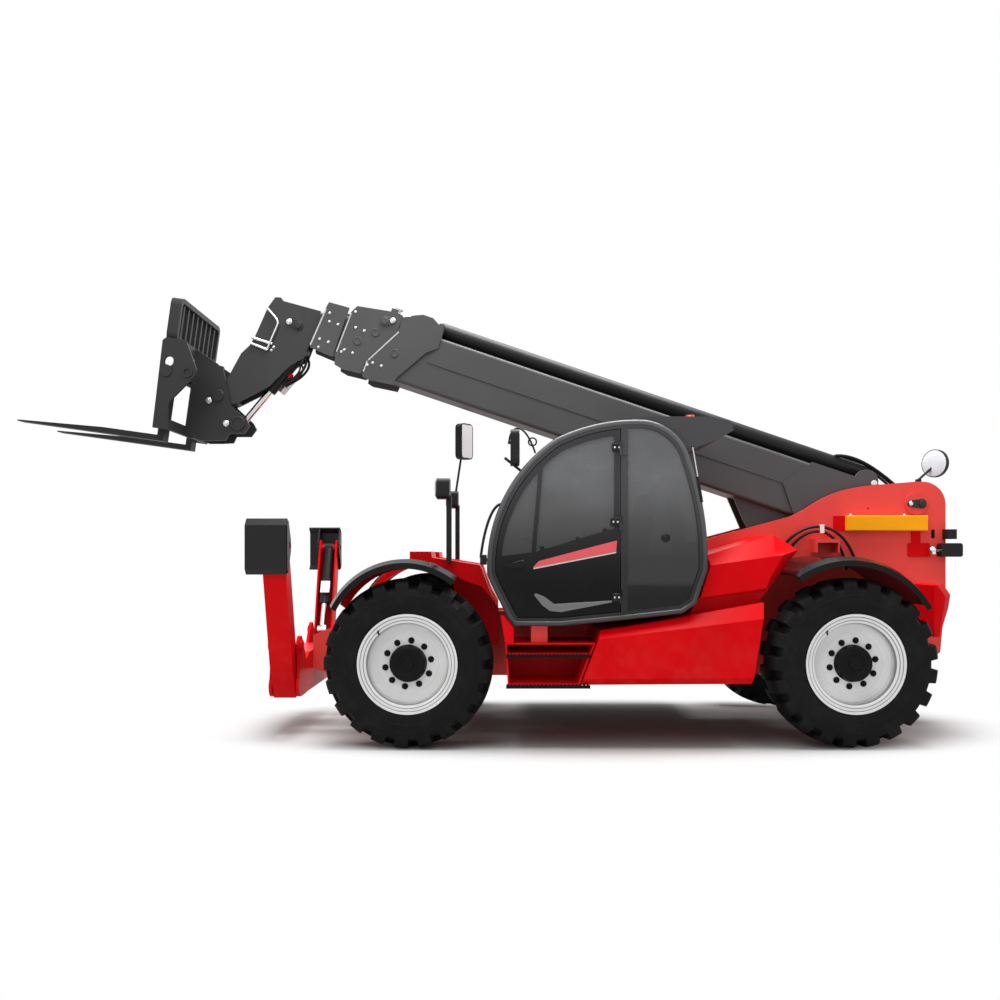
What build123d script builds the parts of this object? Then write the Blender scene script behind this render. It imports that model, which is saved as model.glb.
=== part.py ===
from build123d import *
import os
from math import atan2, cos, degrees, radians, sin

# A four-section telescopic handler with forks, front stabilizers and four steered wheels.
# Millimetres, +X forward, +Y to the cab side, +Z up, origin on the ground under the middle.

os.makedirs("parts", exist_ok=True)

# Fits
run_gap = 0.3
slide_gap = 1.0
free_gap = 6.0

# Wheels and axles
front_axle_x = 604
wheelbase = 3261
rear_axle_x = front_axle_x - wheelbase
axle_z = 625
wheel_y = 1010
tyre_radius = 625
tyre_width = 400
lug_count = 21
lug_depth = 50
lug_share = 0.54
lug_slope = 0.05
tread_rings = ((0, 1.0), (0.70, 0.985), (0.94, 0.94))
carcass_sides = 28
bead_radius = 305
flange_depth = 55
flange_radius = bead_radius + flange_depth
rim_wall = 12
disc_y = 1095
disc_thickness = 18
cap_radius = 134
hub_radius = 205
nut_circle = 170
nut_count = 10
kingpin_y = 900
kingpin_radius = 30
yoke_half = 72
yoke_low = 165
yoke_high = 215
tube_radius = 105
housing_radius = 165
housing_round = 45
fender_inner = 720
fender_outer = 1210
fender_crown = 1120
fender_sheet = 12
fender_fall = 28
fender_lip = 42

# Chassis frame
plate_inner = 215
plate_thickness = 30
plate_outer = plate_inner + plate_thickness
saddle_top = 790
saddle_half = 150
rail_top = 960
rail_bottom = 430
tower_top = 2025
tower_rear = rear_axle_x - 1087
weight_y = 900
hose_guide_top = 1550
hose_guide_depth = 150
outrigger_y = 1090
outrigger_low = 777
outrigger_high = 900
outrigger_x = -360
outrigger_width = 120

# Boom, drawn along and across its own axis from the pivot
pivot_x = rear_axle_x - 841
pivot_z = 1847
boom_angle = 18.7
boom_axis = -181
boom_height = 461
boom_width = 340
height_step = 66
width_step = 50
boom_wall = 10
boom_corner = 28
section_front = (4500, 4900, 5150)
section_rear = (180, 350, 500, 650)
pin_radius = 50
barrel_radius = 65
ram_axis = 143
ram_boss_along = 425
ram_boss_up = 50
ram_boss_radius = 100

# Lift cylinder, from the boom pivot
lift_base = (-100, -1200)
lift_lug = (1100, -640)
lift_barrel_end = 1250
lift_rod_start = 395
lift_barrel_radius = 85
lift_rod_radius = 50
lift_lug_inner = lift_barrel_radius + free_gap
lift_lug_plate = 25
lift_eye_radius = 62

# Boom head and fork carriage
tilt_pivot = (5774, -995)
tilt_rod_pin = (5542, -1164)
tilt_base = (5245, -395)
head_half = 95
head_wall = 25
carriage_pitch = 8.0
ear_inner = 100
ear_outer = 125
carriage_half = 525
carriage_plate = 25
backrest_low = 335
backrest_high = 685
backrest_rear = 262
backrest_depth = 88
backrest_bar = 38
slat_depth = 62
slat_width = 30
slat_count = 8
fork_shaft = (311, 90)
fork_shaft_radius = 34
fork_y = 351
fork_width = 125
fork_tip = 1486
fork_under = -462
fork_thickness = 45

# Stabilizers, in the plane across the machine
leg_x = 1580
leg_half = 85
leg_wall = 16
leg_pivot = (760, 410)
leg_top = (1120, 1490)
ram_foot = (760, 726)
sole_y = 1215
sole_z = 1482
sole_sheet = 14
sole_length = 300
cheek_plate = 16

# Cab
cab_outer = 1150
cab_inner = 275
cab_wall = 45
b_pillar_x = -954
visor_top = 2440
door_gap = 6
glass = 6
hinge_heights = (1115, 1650, 2200)
hinge_radius = 11

# Bodywork beside the frame
body_outer = 1180
bevel_y = 1100
deck_front = -982
deck_low = 890
deck_slope = 0.175
box_outer = 1060
box_ridge = 950
step_outer = 1150
step_inner = 650
step_wall = 12
step_low = 450
tread_high = 701
tread_depth = 30
hood_outer = 1130
hood_sheet = 8
hood_hinge = (-285, 1310)
engine_front = front_axle_x - 760
engine_rear = rear_axle_x + 790
engine_outer = 900
mast_y = fender_inner + 25
mast_foot = 1365
mast_top = 1880

boom_dir = Vector(cos(radians(boom_angle)), 0, sin(radians(boom_angle)))
boom_side = Plane(origin=(pivot_x, 0, pivot_z), x_dir=boom_dir, z_dir=(0, -1, 0))


def boom_point(along, up):
    """World point of a place given along and across the boom."""
    return boom_side.from_local_coords(Vector(along, up, 0))


def boom_section(along):
    """Plane across the boom, its x to the left and its y up the section."""
    return Plane(origin=boom_point(along, 0), x_dir=(0, 1, 0), z_dir=boom_dir)


def side_at(y):
    """Upright plane along the machine at a distance to the left, facing right."""
    return Plane.XZ.offset(-y)


def aim(start, end):
    """Plane at a start point whose normal points to an end point, its x along Y."""
    return Plane(origin=start, x_dir=(0, 1, 0), z_dir=(end - start).normalized())


head_pivot = boom_point(*tilt_pivot)
carriage_dir = Vector(cos(radians(carriage_pitch)), 0, sin(radians(carriage_pitch)))
carriage_side = Plane(origin=head_pivot, x_dir=carriage_dir, z_dir=(0, -1, 0))


# Chassis
with BuildPart() as chassis_frame:
    with BuildSketch(side_at(plate_outer)) as plate_outline:
        with BuildLine():
            deck = Polyline((-700, rail_top), (-1500, 1180), (-1787, 1556), (rear_axle_x + 250, 1722))
            neck = Spline(deck @ 1, (rear_axle_x - 60, 1880), (rear_axle_x - 494, 1997),
                          tangents=[(-1, 0.25), (-1, 0.08)])
            Polyline(neck @ 1, (rear_axle_x - 843, tower_top), (tower_rear, tower_top), (tower_rear, 1100),
                     (rear_axle_x - 1043, 620), (rear_axle_x - 943, 540), (rear_axle_x - 593, 520),
                     (rear_axle_x + 607, rail_bottom), (1300, rail_bottom), (1470, rail_bottom + 60),
                     (1470, 760), (1100, 900),
                     (700, rail_top), deck @ 0)
        make_face()
        fillet(plate_outline.vertices().sort_by_distance((tower_rear, tower_top))[0], 190)
        with Locations((front_axle_x, 0), (rear_axle_x, 0)):
            Rectangle(2 * saddle_half + 20, saddle_top, align=(Align.CENTER, Align.MIN), mode=Mode.SUBTRACT)
    extrude(amount=plate_thickness)
    mirror(about=Plane.XZ)
    with BuildSketch(Plane.XY.offset(rail_bottom + 20)):
        with Locations((-1000, 0)):
            Rectangle(2500, 2 * plate_inner)
    extrude(amount=20)
    for cross_x, low, high, deep in ((1400, 500, 740, 110), (tower_rear + 124, 1080, 1400, 40)):
        with BuildSketch(Plane.XY.offset(low)):
            with Locations((cross_x, 0)):
                Rectangle(deep, 2 * plate_inner)
        extrude(amount=high - low)
    with BuildSketch(side_at(plate_outer + 18)):
        with Locations((pivot_x, pivot_z)):
            Circle(95)
    extrude(amount=18)
    mirror(about=Plane.XZ)
    with BuildSketch(side_at(plate_outer)):
        with Locations((pivot_x, pivot_z)):
            Circle(pin_radius)
    extrude(amount=2 * plate_outer)
    with BuildSketch(side_at(plate_outer)):
        with Locations((pivot_x + lift_base[0], pivot_z + lift_base[1])):
            Circle(45)
    extrude(amount=2 * plate_outer)
    with BuildSketch(Plane.XY.offset(outrigger_low)):
        with Locations((outrigger_x, (outrigger_y - plate_outer) / 2)):
            Rectangle(outrigger_width, outrigger_y + plate_outer)
    extrude(amount=outrigger_high - outrigger_low)
    with BuildSketch(side_at(plate_outer + hose_guide_depth)):
        with Locations((rear_axle_x - 67, hose_guide_top)):
            Rectangle(190, 110, align=(Align.CENTER, Align.MAX))
            Rectangle(166, 220, mode=Mode.SUBTRACT)
            Rectangle(190, 30, align=(Align.CENTER, Align.MAX))
    extrude(amount=hose_guide_depth)
chassis_frame.part.label = "chassis_frame"
export_step(chassis_frame.part, "parts/chassis_frame.step")

with BuildPart() as counterweight:
    with BuildSketch(Plane(origin=(rear_axle_x, weight_y, 0), x_dir=(1, 0, 0), z_dir=(0, -1, 0))):
        with BuildLine():
            Polyline((-700, 1190), (-790, 1200), (-848, 1117), (-833, 1019), (-740, 799), (-700, 799),
                     close=True)
        make_face()
    extrude(amount=weight_y - plate_outer)
    chamfer(counterweight.faces().sort_by(Axis.Y)[-1].edges().sort_by(Axis.X)[:2], 60)
    mirror(about=Plane.XZ)
counterweight.part.label = "counterweight"
export_step(counterweight.part, "parts/counterweight.step")

with BuildPart() as front_axle:
    with BuildSketch(side_at(740)):
        with Locations((front_axle_x, axle_z)):
            Circle(tube_radius)
    extrude(amount=1480)
    with BuildSketch(side_at(150)):
        with Locations((front_axle_x, axle_z)):
            Circle(housing_radius)
    extrude(amount=300)
    fillet(front_axle.edges().filter_by(GeomType.CIRCLE).filter_by(
        lambda e: abs(e.radius - housing_radius) < 1), housing_round)
    for side in (-1, 1):
        with BuildSketch(Plane.XY.offset(axle_z)):
            with Locations((front_axle_x, side * (plate_inner + plate_thickness / 2))):
                Rectangle(2 * saddle_half, plate_thickness + 20)
        extrude(amount=saddle_top - axle_z)
        for low, high in ((-yoke_high, -yoke_low), (yoke_low, yoke_high)):
            with BuildSketch(Plane.XY.offset(axle_z + low)):
                with Locations((front_axle_x, side * (kingpin_y + 700) / 2)):
                    Rectangle(2 * yoke_half, kingpin_y - 700)
                with Locations((front_axle_x, side * kingpin_y)):
                    Circle(yoke_half)
                    Circle(kingpin_radius + run_gap, mode=Mode.SUBTRACT)
            extrude(amount=high - low)
        with BuildSketch(Plane.XY.offset(axle_z - yoke_high)):
            with Locations((front_axle_x, side * 730)):
                Rectangle(2 * yoke_half, 60)
        extrude(amount=2 * yoke_high)
front_axle.part.label = "front_axle"
export_step(front_axle.part, "parts/front_axle.step")

with BuildPart() as rear_axle:
    with Locations((-wheelbase, 0, 0)):
        add(front_axle.part)
rear_axle.part.label = "rear_axle"
export_step(rear_axle.part, "parts/rear_axle.step")

# Wheels and knuckles
with BuildPart() as front_left_knuckle:
    with BuildSketch(Plane.XY.offset(axle_z - yoke_low + free_gap)):
        with Locations((front_axle_x, kingpin_y)):
            Circle(yoke_half - 8)
    extrude(amount=2 * (yoke_low - free_gap))
    with BuildSketch(Plane.XY.offset(axle_z - yoke_high)):
        with Locations((front_axle_x, kingpin_y)):
            Circle(kingpin_radius)
    extrude(amount=2 * yoke_high)
    with BuildSketch(side_at(disc_y)):
        with Locations((front_axle_x, axle_z)):
            Circle(62)
    extrude(amount=disc_y - kingpin_y)
    with BuildSketch(side_at(disc_y)):
        with Locations((front_axle_x, axle_z)):
            Circle(hub_radius - 20)
    extrude(amount=45)
front_left_knuckle.part.label = "front_left_knuckle"
export_step(front_left_knuckle.part, "parts/front_left_knuckle.step")

with BuildPart() as front_right_knuckle:
    mirror(front_left_knuckle.part, about=Plane.XZ)
front_right_knuckle.part.label = "front_right_knuckle"
export_step(front_right_knuckle.part, "parts/front_right_knuckle.step")

with BuildPart() as rear_left_knuckle:
    with Locations((-wheelbase, 0, 0)):
        add(front_left_knuckle.part)
rear_left_knuckle.part.label = "rear_left_knuckle"
export_step(rear_left_knuckle.part, "parts/rear_left_knuckle.step")

with BuildPart() as rear_right_knuckle:
    mirror(rear_left_knuckle.part, about=Plane.XZ)
rear_right_knuckle.part.label = "rear_right_knuckle"
export_step(rear_right_knuckle.part, "parts/rear_right_knuckle.step")

wheel_plane = Plane(origin=(front_axle_x, wheel_y, axle_z), x_dir=(1, 0, 0), z_dir=(0, 0, 1))
wheel_axis = Axis((front_axle_x, wheel_y, axle_z), (0, 1, 0))
half = tyre_width / 2
with BuildPart() as front_left_rim:
    with BuildSketch(wheel_plane):
        with BuildLine():
            Polyline((bead_radius - rim_wall, -half + 10), (flange_radius, -half + 10),
                     (flange_radius, -half + 18), (bead_radius, -half + 26), (bead_radius, half - 26),
                     (flange_radius, half - 18), (flange_radius, half - 10),
                     (bead_radius - rim_wall, half - 10), close=True)
        make_face()
    revolve(axis=wheel_axis)
    with BuildSketch(wheel_plane):
        with BuildLine():
            Polyline((0, disc_y - wheel_y), (bead_radius - 2, disc_y - wheel_y),
                     (bead_radius - 2, disc_y - wheel_y + disc_thickness),
                     (hub_radius, disc_y - wheel_y + disc_thickness),
                     (hub_radius - 12, disc_y - wheel_y + 30), (cap_radius, disc_y - wheel_y + 30),
                     (cap_radius - 4, disc_y - wheel_y + 70), (cap_radius - 22, disc_y - wheel_y + 86),
                     (0, disc_y - wheel_y + 86), close=True)
        make_face()
    revolve(axis=wheel_axis)
    with BuildSketch(side_at(disc_y + 54)):
        with Locations((front_axle_x, axle_z)):
            with PolarLocations(nut_circle, nut_count):
                RegularPolygon(15, 6)
    extrude(amount=26)
front_left_rim.part.label = "front_left_rim"
export_step(front_left_rim.part, "parts/front_left_rim.step")



def wheel_side(y):
    """Upright plane through the wheel at a distance out from its middle."""
    return Plane(origin=(front_axle_x, wheel_y + y, axle_z), x_dir=(1, 0, 0), z_dir=(0, -1, 0))


def tread_outline(scale, turn):
    """Corners of a ring of lugs: each pitch has one lug with sloping walls and one gap."""
    pitch = 360 / lug_count
    low = tyre_radius - lug_depth
    shares = ((low, -lug_slope), (tyre_radius, 0), (tyre_radius, lug_share), (low, lug_share + lug_slope))
    corners = []
    for lug in range(lug_count):
        for radius, share in shares:
            angle = radians((lug + share + turn) * pitch - 90)
            corners.append((scale * radius * cos(angle), scale * radius * sin(angle)))
    return corners


# Two halves of lugs, half a pitch apart, on a carcass with flat facets
facet = 1 / cos(radians(180 / carcass_sides))
bead_seat = (bead_radius + run_gap) * facet
flange_seat = (flange_radius + 4) * facet
shoulder_y = tread_rings[-1][0] * half
with BuildPart() as front_left_tyre:
    for side, turn in ((1, 0), (-1, 0.5)):
        for share, scale in tread_rings:
            with BuildSketch(wheel_side(side * share * half)):
                with BuildLine():
                    Polyline(*tread_outline(scale, turn), close=True)
                make_face()
        loft(ruled=True)
        for out, radius in ((shoulder_y, 525), (half, 450)):
            with BuildSketch(wheel_side(side * out)):
                RegularPolygon(radius, carcass_sides)
        loft(ruled=True)
        for out, radius in ((half, 450), (half - 20, flange_seat), (half - 27, bead_seat)):
            with BuildSketch(wheel_side(side * out)):
                RegularPolygon(radius, carcass_sides)
        loft(ruled=True, mode=Mode.SUBTRACT)
    with BuildSketch(wheel_side(half)):
        RegularPolygon(bead_seat, carcass_sides)
    extrude(amount=tyre_width, mode=Mode.SUBTRACT)
front_left_tyre.part.label = "front_left_tyre"
export_step(front_left_tyre.part, "parts/front_left_tyre.step")

with BuildPart() as front_right_rim:
    mirror(front_left_rim.part, about=Plane.XZ)
front_right_rim.part.label = "front_right_rim"
export_step(front_right_rim.part, "parts/front_right_rim.step")

with BuildPart() as front_right_tyre:
    mirror(front_left_tyre.part, about=Plane.XZ)
front_right_tyre.part.label = "front_right_tyre"
export_step(front_right_tyre.part, "parts/front_right_tyre.step")

with BuildPart() as rear_left_rim:
    with Locations((-wheelbase, 0, 0)):
        add(front_left_rim.part)
rear_left_rim.part.label = "rear_left_rim"
export_step(rear_left_rim.part, "parts/rear_left_rim.step")

with BuildPart() as rear_left_tyre:
    with Locations((-wheelbase, 0, 0)):
        add(front_left_tyre.part)
rear_left_tyre.part.label = "rear_left_tyre"
export_step(rear_left_tyre.part, "parts/rear_left_tyre.step")

with BuildPart() as rear_right_rim:
    mirror(rear_left_rim.part, about=Plane.XZ)
rear_right_rim.part.label = "rear_right_rim"
export_step(rear_right_rim.part, "parts/rear_right_rim.step")

with BuildPart() as rear_right_tyre:
    mirror(rear_left_tyre.part, about=Plane.XZ)
rear_right_tyre.part.label = "rear_right_tyre"
export_step(rear_right_tyre.part, "parts/rear_right_tyre.step")

# Boom sections: rounded tubes that nest, with a collar at each front end
collar_outlines = (
    [(4153, 119), (4148, -43), (4233, -114), (4399, -391), (4405, -448), (4623, -475), (4672, -462),
     (4677, -419), (4671, -332), (4500, -19), (4507, 76), (4502, 110), (4409, 158), (4351, 182), (4266, 181)],
    [(4515, 130), (4515, -60), (4690, -350), (4690, -441), (4860, -456), (4926, -441), (4951, -340),
     (4936, 10), (4911, 60), (4900, 80), (4602, 130)],
    [(4965, 50), (4965, -383), (5168, -368), (5182, -350), (5151, -17), (5140, 40)],
)
section_sizes = [(boom_width - n * width_step, boom_height - n * height_step) for n in range(4)]
collar_plate = 20
lap_plate = 6

with BuildPart() as boom_1:
    width, height = section_sizes[0]
    with BuildSketch(boom_section(section_rear[0])):
        with Locations((0, boom_axis)):
            RectangleRounded(width, height, boom_corner)
            RectangleRounded(width - 2 * boom_wall, height - 2 * boom_wall, boom_corner - boom_wall,
                             mode=Mode.SUBTRACT)
    extrude(amount=section_front[0] - section_rear[0])
    with BuildSketch(boom_side.offset(-width / 2 - collar_plate)):
        with BuildLine():
            Polyline(*collar_outlines[0], close=True)
        make_face()
    extrude(amount=collar_plate)
    with BuildSketch(boom_side.offset(-width / 2 - collar_plate)):
        with BuildLine():
            Polyline((-90, 60), (900, 60), (1080, -181), (900, -412), (260, -412), (-90, -120), close=True)
        make_face()
        with Locations((ram_boss_along, ram_boss_up)):
            Circle(ram_boss_radius)
        with Locations((0, 0)):
            Circle(95)
            Circle(pin_radius + run_gap, mode=Mode.SUBTRACT)
    extrude(amount=collar_plate)
    with BuildSketch(boom_side.offset(-width / 2 - lap_plate)):
        with BuildLine():
            Polyline((1000, boom_axis), (4200, boom_axis), (4160, 20), (860, 20), close=True)
        make_face()
    extrude(amount=lap_plate)
    with BuildSketch(boom_side.offset(-lift_lug_inner - lift_lug_plate)):
        with BuildLine():
            Polyline((lift_lug[0] - 320, -411), (lift_lug[0] + 320, -411),
                     (lift_lug[0] + 70, lift_lug[1] - 50), (lift_lug[0] - 70, lift_lug[1] - 50), close=True)
        make_face()
    extrude(amount=lift_lug_plate)
    mirror(about=boom_side)
    for along in (4160, 4330):
        with BuildSketch(boom_section(along)):
            with Locations((0, boom_axis + height / 2 + 55)):
                Rectangle(width + 2 * collar_plate, 110)
            with Locations((0, ram_axis)):
                Circle(barrel_radius + run_gap, mode=Mode.SUBTRACT)
        extrude(amount=40)
    with BuildSketch(boom_section(section_front[0] - 80)):
        with Locations((0, boom_axis)):
            Rectangle(width - boom_wall, height - boom_wall)
            Rectangle(width - width_step + 2 * slide_gap, height - height_step + 2 * slide_gap,
                      mode=Mode.SUBTRACT)
    extrude(amount=80)
boom_1.part.label = "boom_1"
export_step(boom_1.part, "parts/boom_1.step")

with BuildPart() as boom_2:
    width, height = section_sizes[1]
    with BuildSketch(boom_section(section_rear[1])):
        with Locations((0, boom_axis)):
            RectangleRounded(width, height, boom_corner)
            RectangleRounded(width - 2 * boom_wall, height - 2 * boom_wall, boom_corner - boom_wall,
                             mode=Mode.SUBTRACT)
    extrude(amount=section_front[1] - section_rear[1])
    with BuildSketch(boom_side.offset(-width / 2 - collar_plate)):
        with BuildLine():
            Polyline(*collar_outlines[1], close=True)
        make_face()
    extrude(amount=collar_plate)
    mirror(about=boom_side)
    with BuildSketch(boom_section(4560)):
        with Locations((0, boom_axis + height / 2 + 70)):
            Rectangle(width + 2 * collar_plate, 140)
    extrude(amount=60)
    with BuildSketch(boom_section(4560)):
        with Locations((0, ram_axis)):
            Circle(60)
    extrude(amount=60)
    with BuildSketch(boom_section(section_rear[1])):
        with Locations((0, boom_axis)):
            RectangleRounded(width + width_step - 2 * boom_wall - 2 * slide_gap,
                             height + height_step - 2 * boom_wall - 2 * slide_gap, boom_corner - boom_wall)
            Rectangle(width - boom_wall, height - boom_wall, mode=Mode.SUBTRACT)
    extrude(amount=80)
    with BuildSketch(boom_section(section_front[1] - 80)):
        with Locations((0, boom_axis)):
            Rectangle(width - boom_wall, height - boom_wall)
            Rectangle(width - width_step + 2 * slide_gap, height - height_step + 2 * slide_gap,
                      mode=Mode.SUBTRACT)
    extrude(amount=80)
boom_2.part.label = "boom_2"
export_step(boom_2.part, "parts/boom_2.step")

with BuildPart() as boom_3:
    width, height = section_sizes[2]
    with BuildSketch(boom_section(section_rear[2])):
        with Locations((0, boom_axis)):
            RectangleRounded(width, height, boom_corner)
            RectangleRounded(width - 2 * boom_wall, height - 2 * boom_wall, boom_corner - boom_wall,
                             mode=Mode.SUBTRACT)
    extrude(amount=section_front[2] - section_rear[2])
    with BuildSketch(boom_side.offset(-width / 2 - collar_plate)):
        with BuildLine():
            Polyline(*collar_outlines[2], close=True)
        make_face()
    extrude(amount=collar_plate)
    mirror(about=boom_side)
    with BuildSketch(boom_section(section_rear[2])):
        with Locations((0, boom_axis)):
            RectangleRounded(width + width_step - 2 * boom_wall - 2 * slide_gap,
                             height + height_step - 2 * boom_wall - 2 * slide_gap, boom_corner - boom_wall)
            Rectangle(width - boom_wall, height - boom_wall, mode=Mode.SUBTRACT)
    extrude(amount=80)
    with BuildSketch(boom_section(section_front[2] - 80)):
        with Locations((0, boom_axis)):
            Rectangle(width - boom_wall, height - boom_wall)
            Rectangle(width - width_step + 2 * slide_gap, height - height_step + 2 * slide_gap,
                      mode=Mode.SUBTRACT)
    extrude(amount=80)
boom_3.part.label = "boom_3"
export_step(boom_3.part, "parts/boom_3.step")

head_outline = [
    (5195, -46), (5525, -66), (5547, -44), (5593, -58), (5624, -159), (5647, -410), (5667, -510),
    (5713, -595), (5757, -846), (5835, -960), (5820, -1050), (5740, -1062), (5639, -1022), (5402, -785),
    (5290, -560), (5200, -455), (5195, -300),
]
with BuildPart() as boom_4:
    width, height = section_sizes[3]
    with BuildSketch(boom_section(section_rear[3])):
        with Locations((0, boom_axis)):
            RectangleRounded(width, height, boom_corner)
            RectangleRounded(width - 2 * boom_wall, height - 2 * boom_wall, boom_corner - boom_wall,
                             mode=Mode.SUBTRACT)
    extrude(amount=5200 - section_rear[3])
    with BuildSketch(boom_section(section_rear[3])):
        with Locations((0, boom_axis)):
            RectangleRounded(width + width_step - 2 * boom_wall - 2 * slide_gap,
                             height + height_step - 2 * boom_wall - 2 * slide_gap, boom_corner - boom_wall)
            Rectangle(width - boom_wall, height - boom_wall, mode=Mode.SUBTRACT)
    extrude(amount=80)
    with BuildSketch(boom_side):
        with BuildLine():
            Polyline(*head_outline, close=True)
        make_face()
    extrude(amount=head_half, both=True)
    with BuildSketch(boom_side):
        with BuildLine():
            Polyline((5170, -330), (5330, -210), (5540, -180), (5600, -420), (5690, -840), (5560, -1100),
                     (5330, -900), (5150, -520), close=True)
        make_face()
    extrude(amount=head_half - head_wall, both=True, mode=Mode.SUBTRACT)
    with BuildSketch(boom_side):
        with Locations(tilt_pivot):
            Circle(35 + run_gap)
    extrude(amount=head_half, both=True, mode=Mode.SUBTRACT)
    with BuildSketch(boom_side):
        with Locations(tilt_base):
            Circle(25)
    extrude(amount=head_half, both=True)
boom_4.part.label = "boom_4"
export_step(boom_4.part, "parts/boom_4.step")

# Cylinder that pushes the sections out, on top of the first section
with BuildPart() as extension_barrel:
    with BuildSketch(boom_section(420)):
        with Locations((0, ram_axis)):
            Circle(barrel_radius)
    extrude(amount=4200 - 420)
    with BuildSketch(boom_section(420 + 40)):
        with Locations((0, ram_axis)):
            Circle(48)
    extrude(amount=4160 - 460, mode=Mode.SUBTRACT)
    with BuildSketch(boom_section(4100)):
        with Locations((0, ram_axis)):
            Circle(38 + run_gap)
    extrude(amount=100, mode=Mode.SUBTRACT)
    with BuildSketch(boom_side.offset(-40)):
        with BuildLine():
            Polyline((330, boom_axis + boom_height / 2), (470, boom_axis + boom_height / 2),
                     (440, 190), (370, 190), close=True)
        make_face()
    extrude(amount=80)
extension_barrel.part.label = "extension_barrel"
export_step(extension_barrel.part, "parts/extension_barrel.step")

with BuildPart() as extension_rod:
    with BuildSketch(boom_section(860)):
        with Locations((0, ram_axis)):
            Circle(38)
    extrude(amount=4560 - 860)
extension_rod.part.label = "extension_rod"
export_step(extension_rod.part, "parts/extension_rod.step")

# Lift cylinder
lift_foot = Vector(pivot_x + lift_base[0], 0, pivot_z + lift_base[1])
lift_eye = boom_point(*lift_lug)
lift_length = (lift_eye - lift_foot).length
lift_plane = aim(lift_foot, lift_eye)
with BuildPart() as lift_barrel:
    with BuildSketch(side_at(60)):
        with Locations((lift_foot.X, lift_foot.Z)):
            Circle(80)
    extrude(amount=120)
    with BuildSketch(lift_plane.offset(40)):
        Circle(lift_barrel_radius)
    extrude(amount=lift_barrel_end - 40)
    with BuildSketch(lift_plane.offset(90)):
        Circle(lift_barrel_radius - 18)
    extrude(amount=lift_barrel_end - 160, mode=Mode.SUBTRACT)
    with BuildSketch(lift_plane.offset(lift_barrel_end - 150)):
        Circle(lift_rod_radius + run_gap)
    extrude(amount=200, mode=Mode.SUBTRACT)
    with BuildSketch(side_at(lift_barrel_radius)):
        with Locations((lift_foot.X, lift_foot.Z)):
            Circle(45 + run_gap)
    extrude(amount=2 * lift_barrel_radius, mode=Mode.SUBTRACT)
lift_barrel.part.label = "lift_barrel"
export_step(lift_barrel.part, "parts/lift_barrel.step")

with BuildPart() as lift_rod:
    with BuildSketch(lift_plane.offset(lift_rod_start)):
        Circle(lift_rod_radius)
    extrude(amount=lift_length - lift_rod_start - 40)
    with BuildSketch(side_at(lift_lug_inner - slide_gap)):
        with Locations((lift_eye.X, lift_eye.Z)):
            Circle(lift_eye_radius)
    extrude(amount=2 * (lift_lug_inner - slide_gap))
lift_rod.part.label = "lift_rod"
export_step(lift_rod.part, "parts/lift_rod.step")

# Tilt cylinder in the boom head
tilt_foot = boom_point(*tilt_base)
tilt_eye = boom_point(*tilt_rod_pin)
tilt_length = (tilt_eye - tilt_foot).length
tilt_plane = aim(tilt_foot, tilt_eye)
with BuildPart() as tilt_barrel:
    with BuildSketch(side_at(40)):
        with Locations((tilt_foot.X, tilt_foot.Z)):
            Circle(46)
    extrude(amount=80)
    with BuildSketch(tilt_plane.offset(20)):
        Circle(50)
    extrude(amount=430)
    with BuildSketch(tilt_plane.offset(60)):
        Circle(40)
    extrude(amount=350, mode=Mode.SUBTRACT)
    with BuildSketch(tilt_plane.offset(400)):
        Circle(28 + run_gap)
    extrude(amount=80, mode=Mode.SUBTRACT)
    with BuildSketch(side_at(50)):
        with Locations((tilt_foot.X, tilt_foot.Z)):
            Circle(25 + run_gap)
    extrude(amount=100, mode=Mode.SUBTRACT)
tilt_barrel.part.label = "tilt_barrel"
export_step(tilt_barrel.part, "parts/tilt_barrel.step")

with BuildPart() as tilt_rod:
    with BuildSketch(tilt_plane.offset(350)):
        Circle(28)
    extrude(amount=tilt_length - 380)
    with BuildSketch(side_at(45)):
        with Locations((tilt_eye.X, tilt_eye.Z)):
            Circle(46)
    extrude(amount=90)
tilt_rod.part.label = "tilt_rod"
export_step(tilt_rod.part, "parts/tilt_rod.step")

# Fork carriage, drawn along the forks from the head pivot
hitch_outline = [
    (236, 358), (-9, 232), (-75, 60), (-110, -60), (-264, -168), (-299, -217), (-263, -286), (-137, -304),
    (-118, -361), (-25, -379), (86, -395), (236, -360),
]
with BuildPart() as hitch:
    with BuildSketch(carriage_side.offset(-ear_outer)):
        with BuildLine():
            Polyline(*hitch_outline, close=True)
        make_face()
    extrude(amount=ear_outer - ear_inner)
    mirror(about=carriage_side)
    with BuildSketch(carriage_side):
        with Locations((0, 0)):
            Circle(35)
    extrude(amount=ear_outer + 12, both=True)
    for low, high in ((-330, -250), (200, 280)):
        with BuildSketch(carriage_side):
            with Locations((196, (low + high) / 2)):
                Rectangle(80, high - low)
        extrude(amount=ear_inner, both=True)
hitch.part.label = "hitch"
export_step(hitch.part, "parts/hitch.step")

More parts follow.
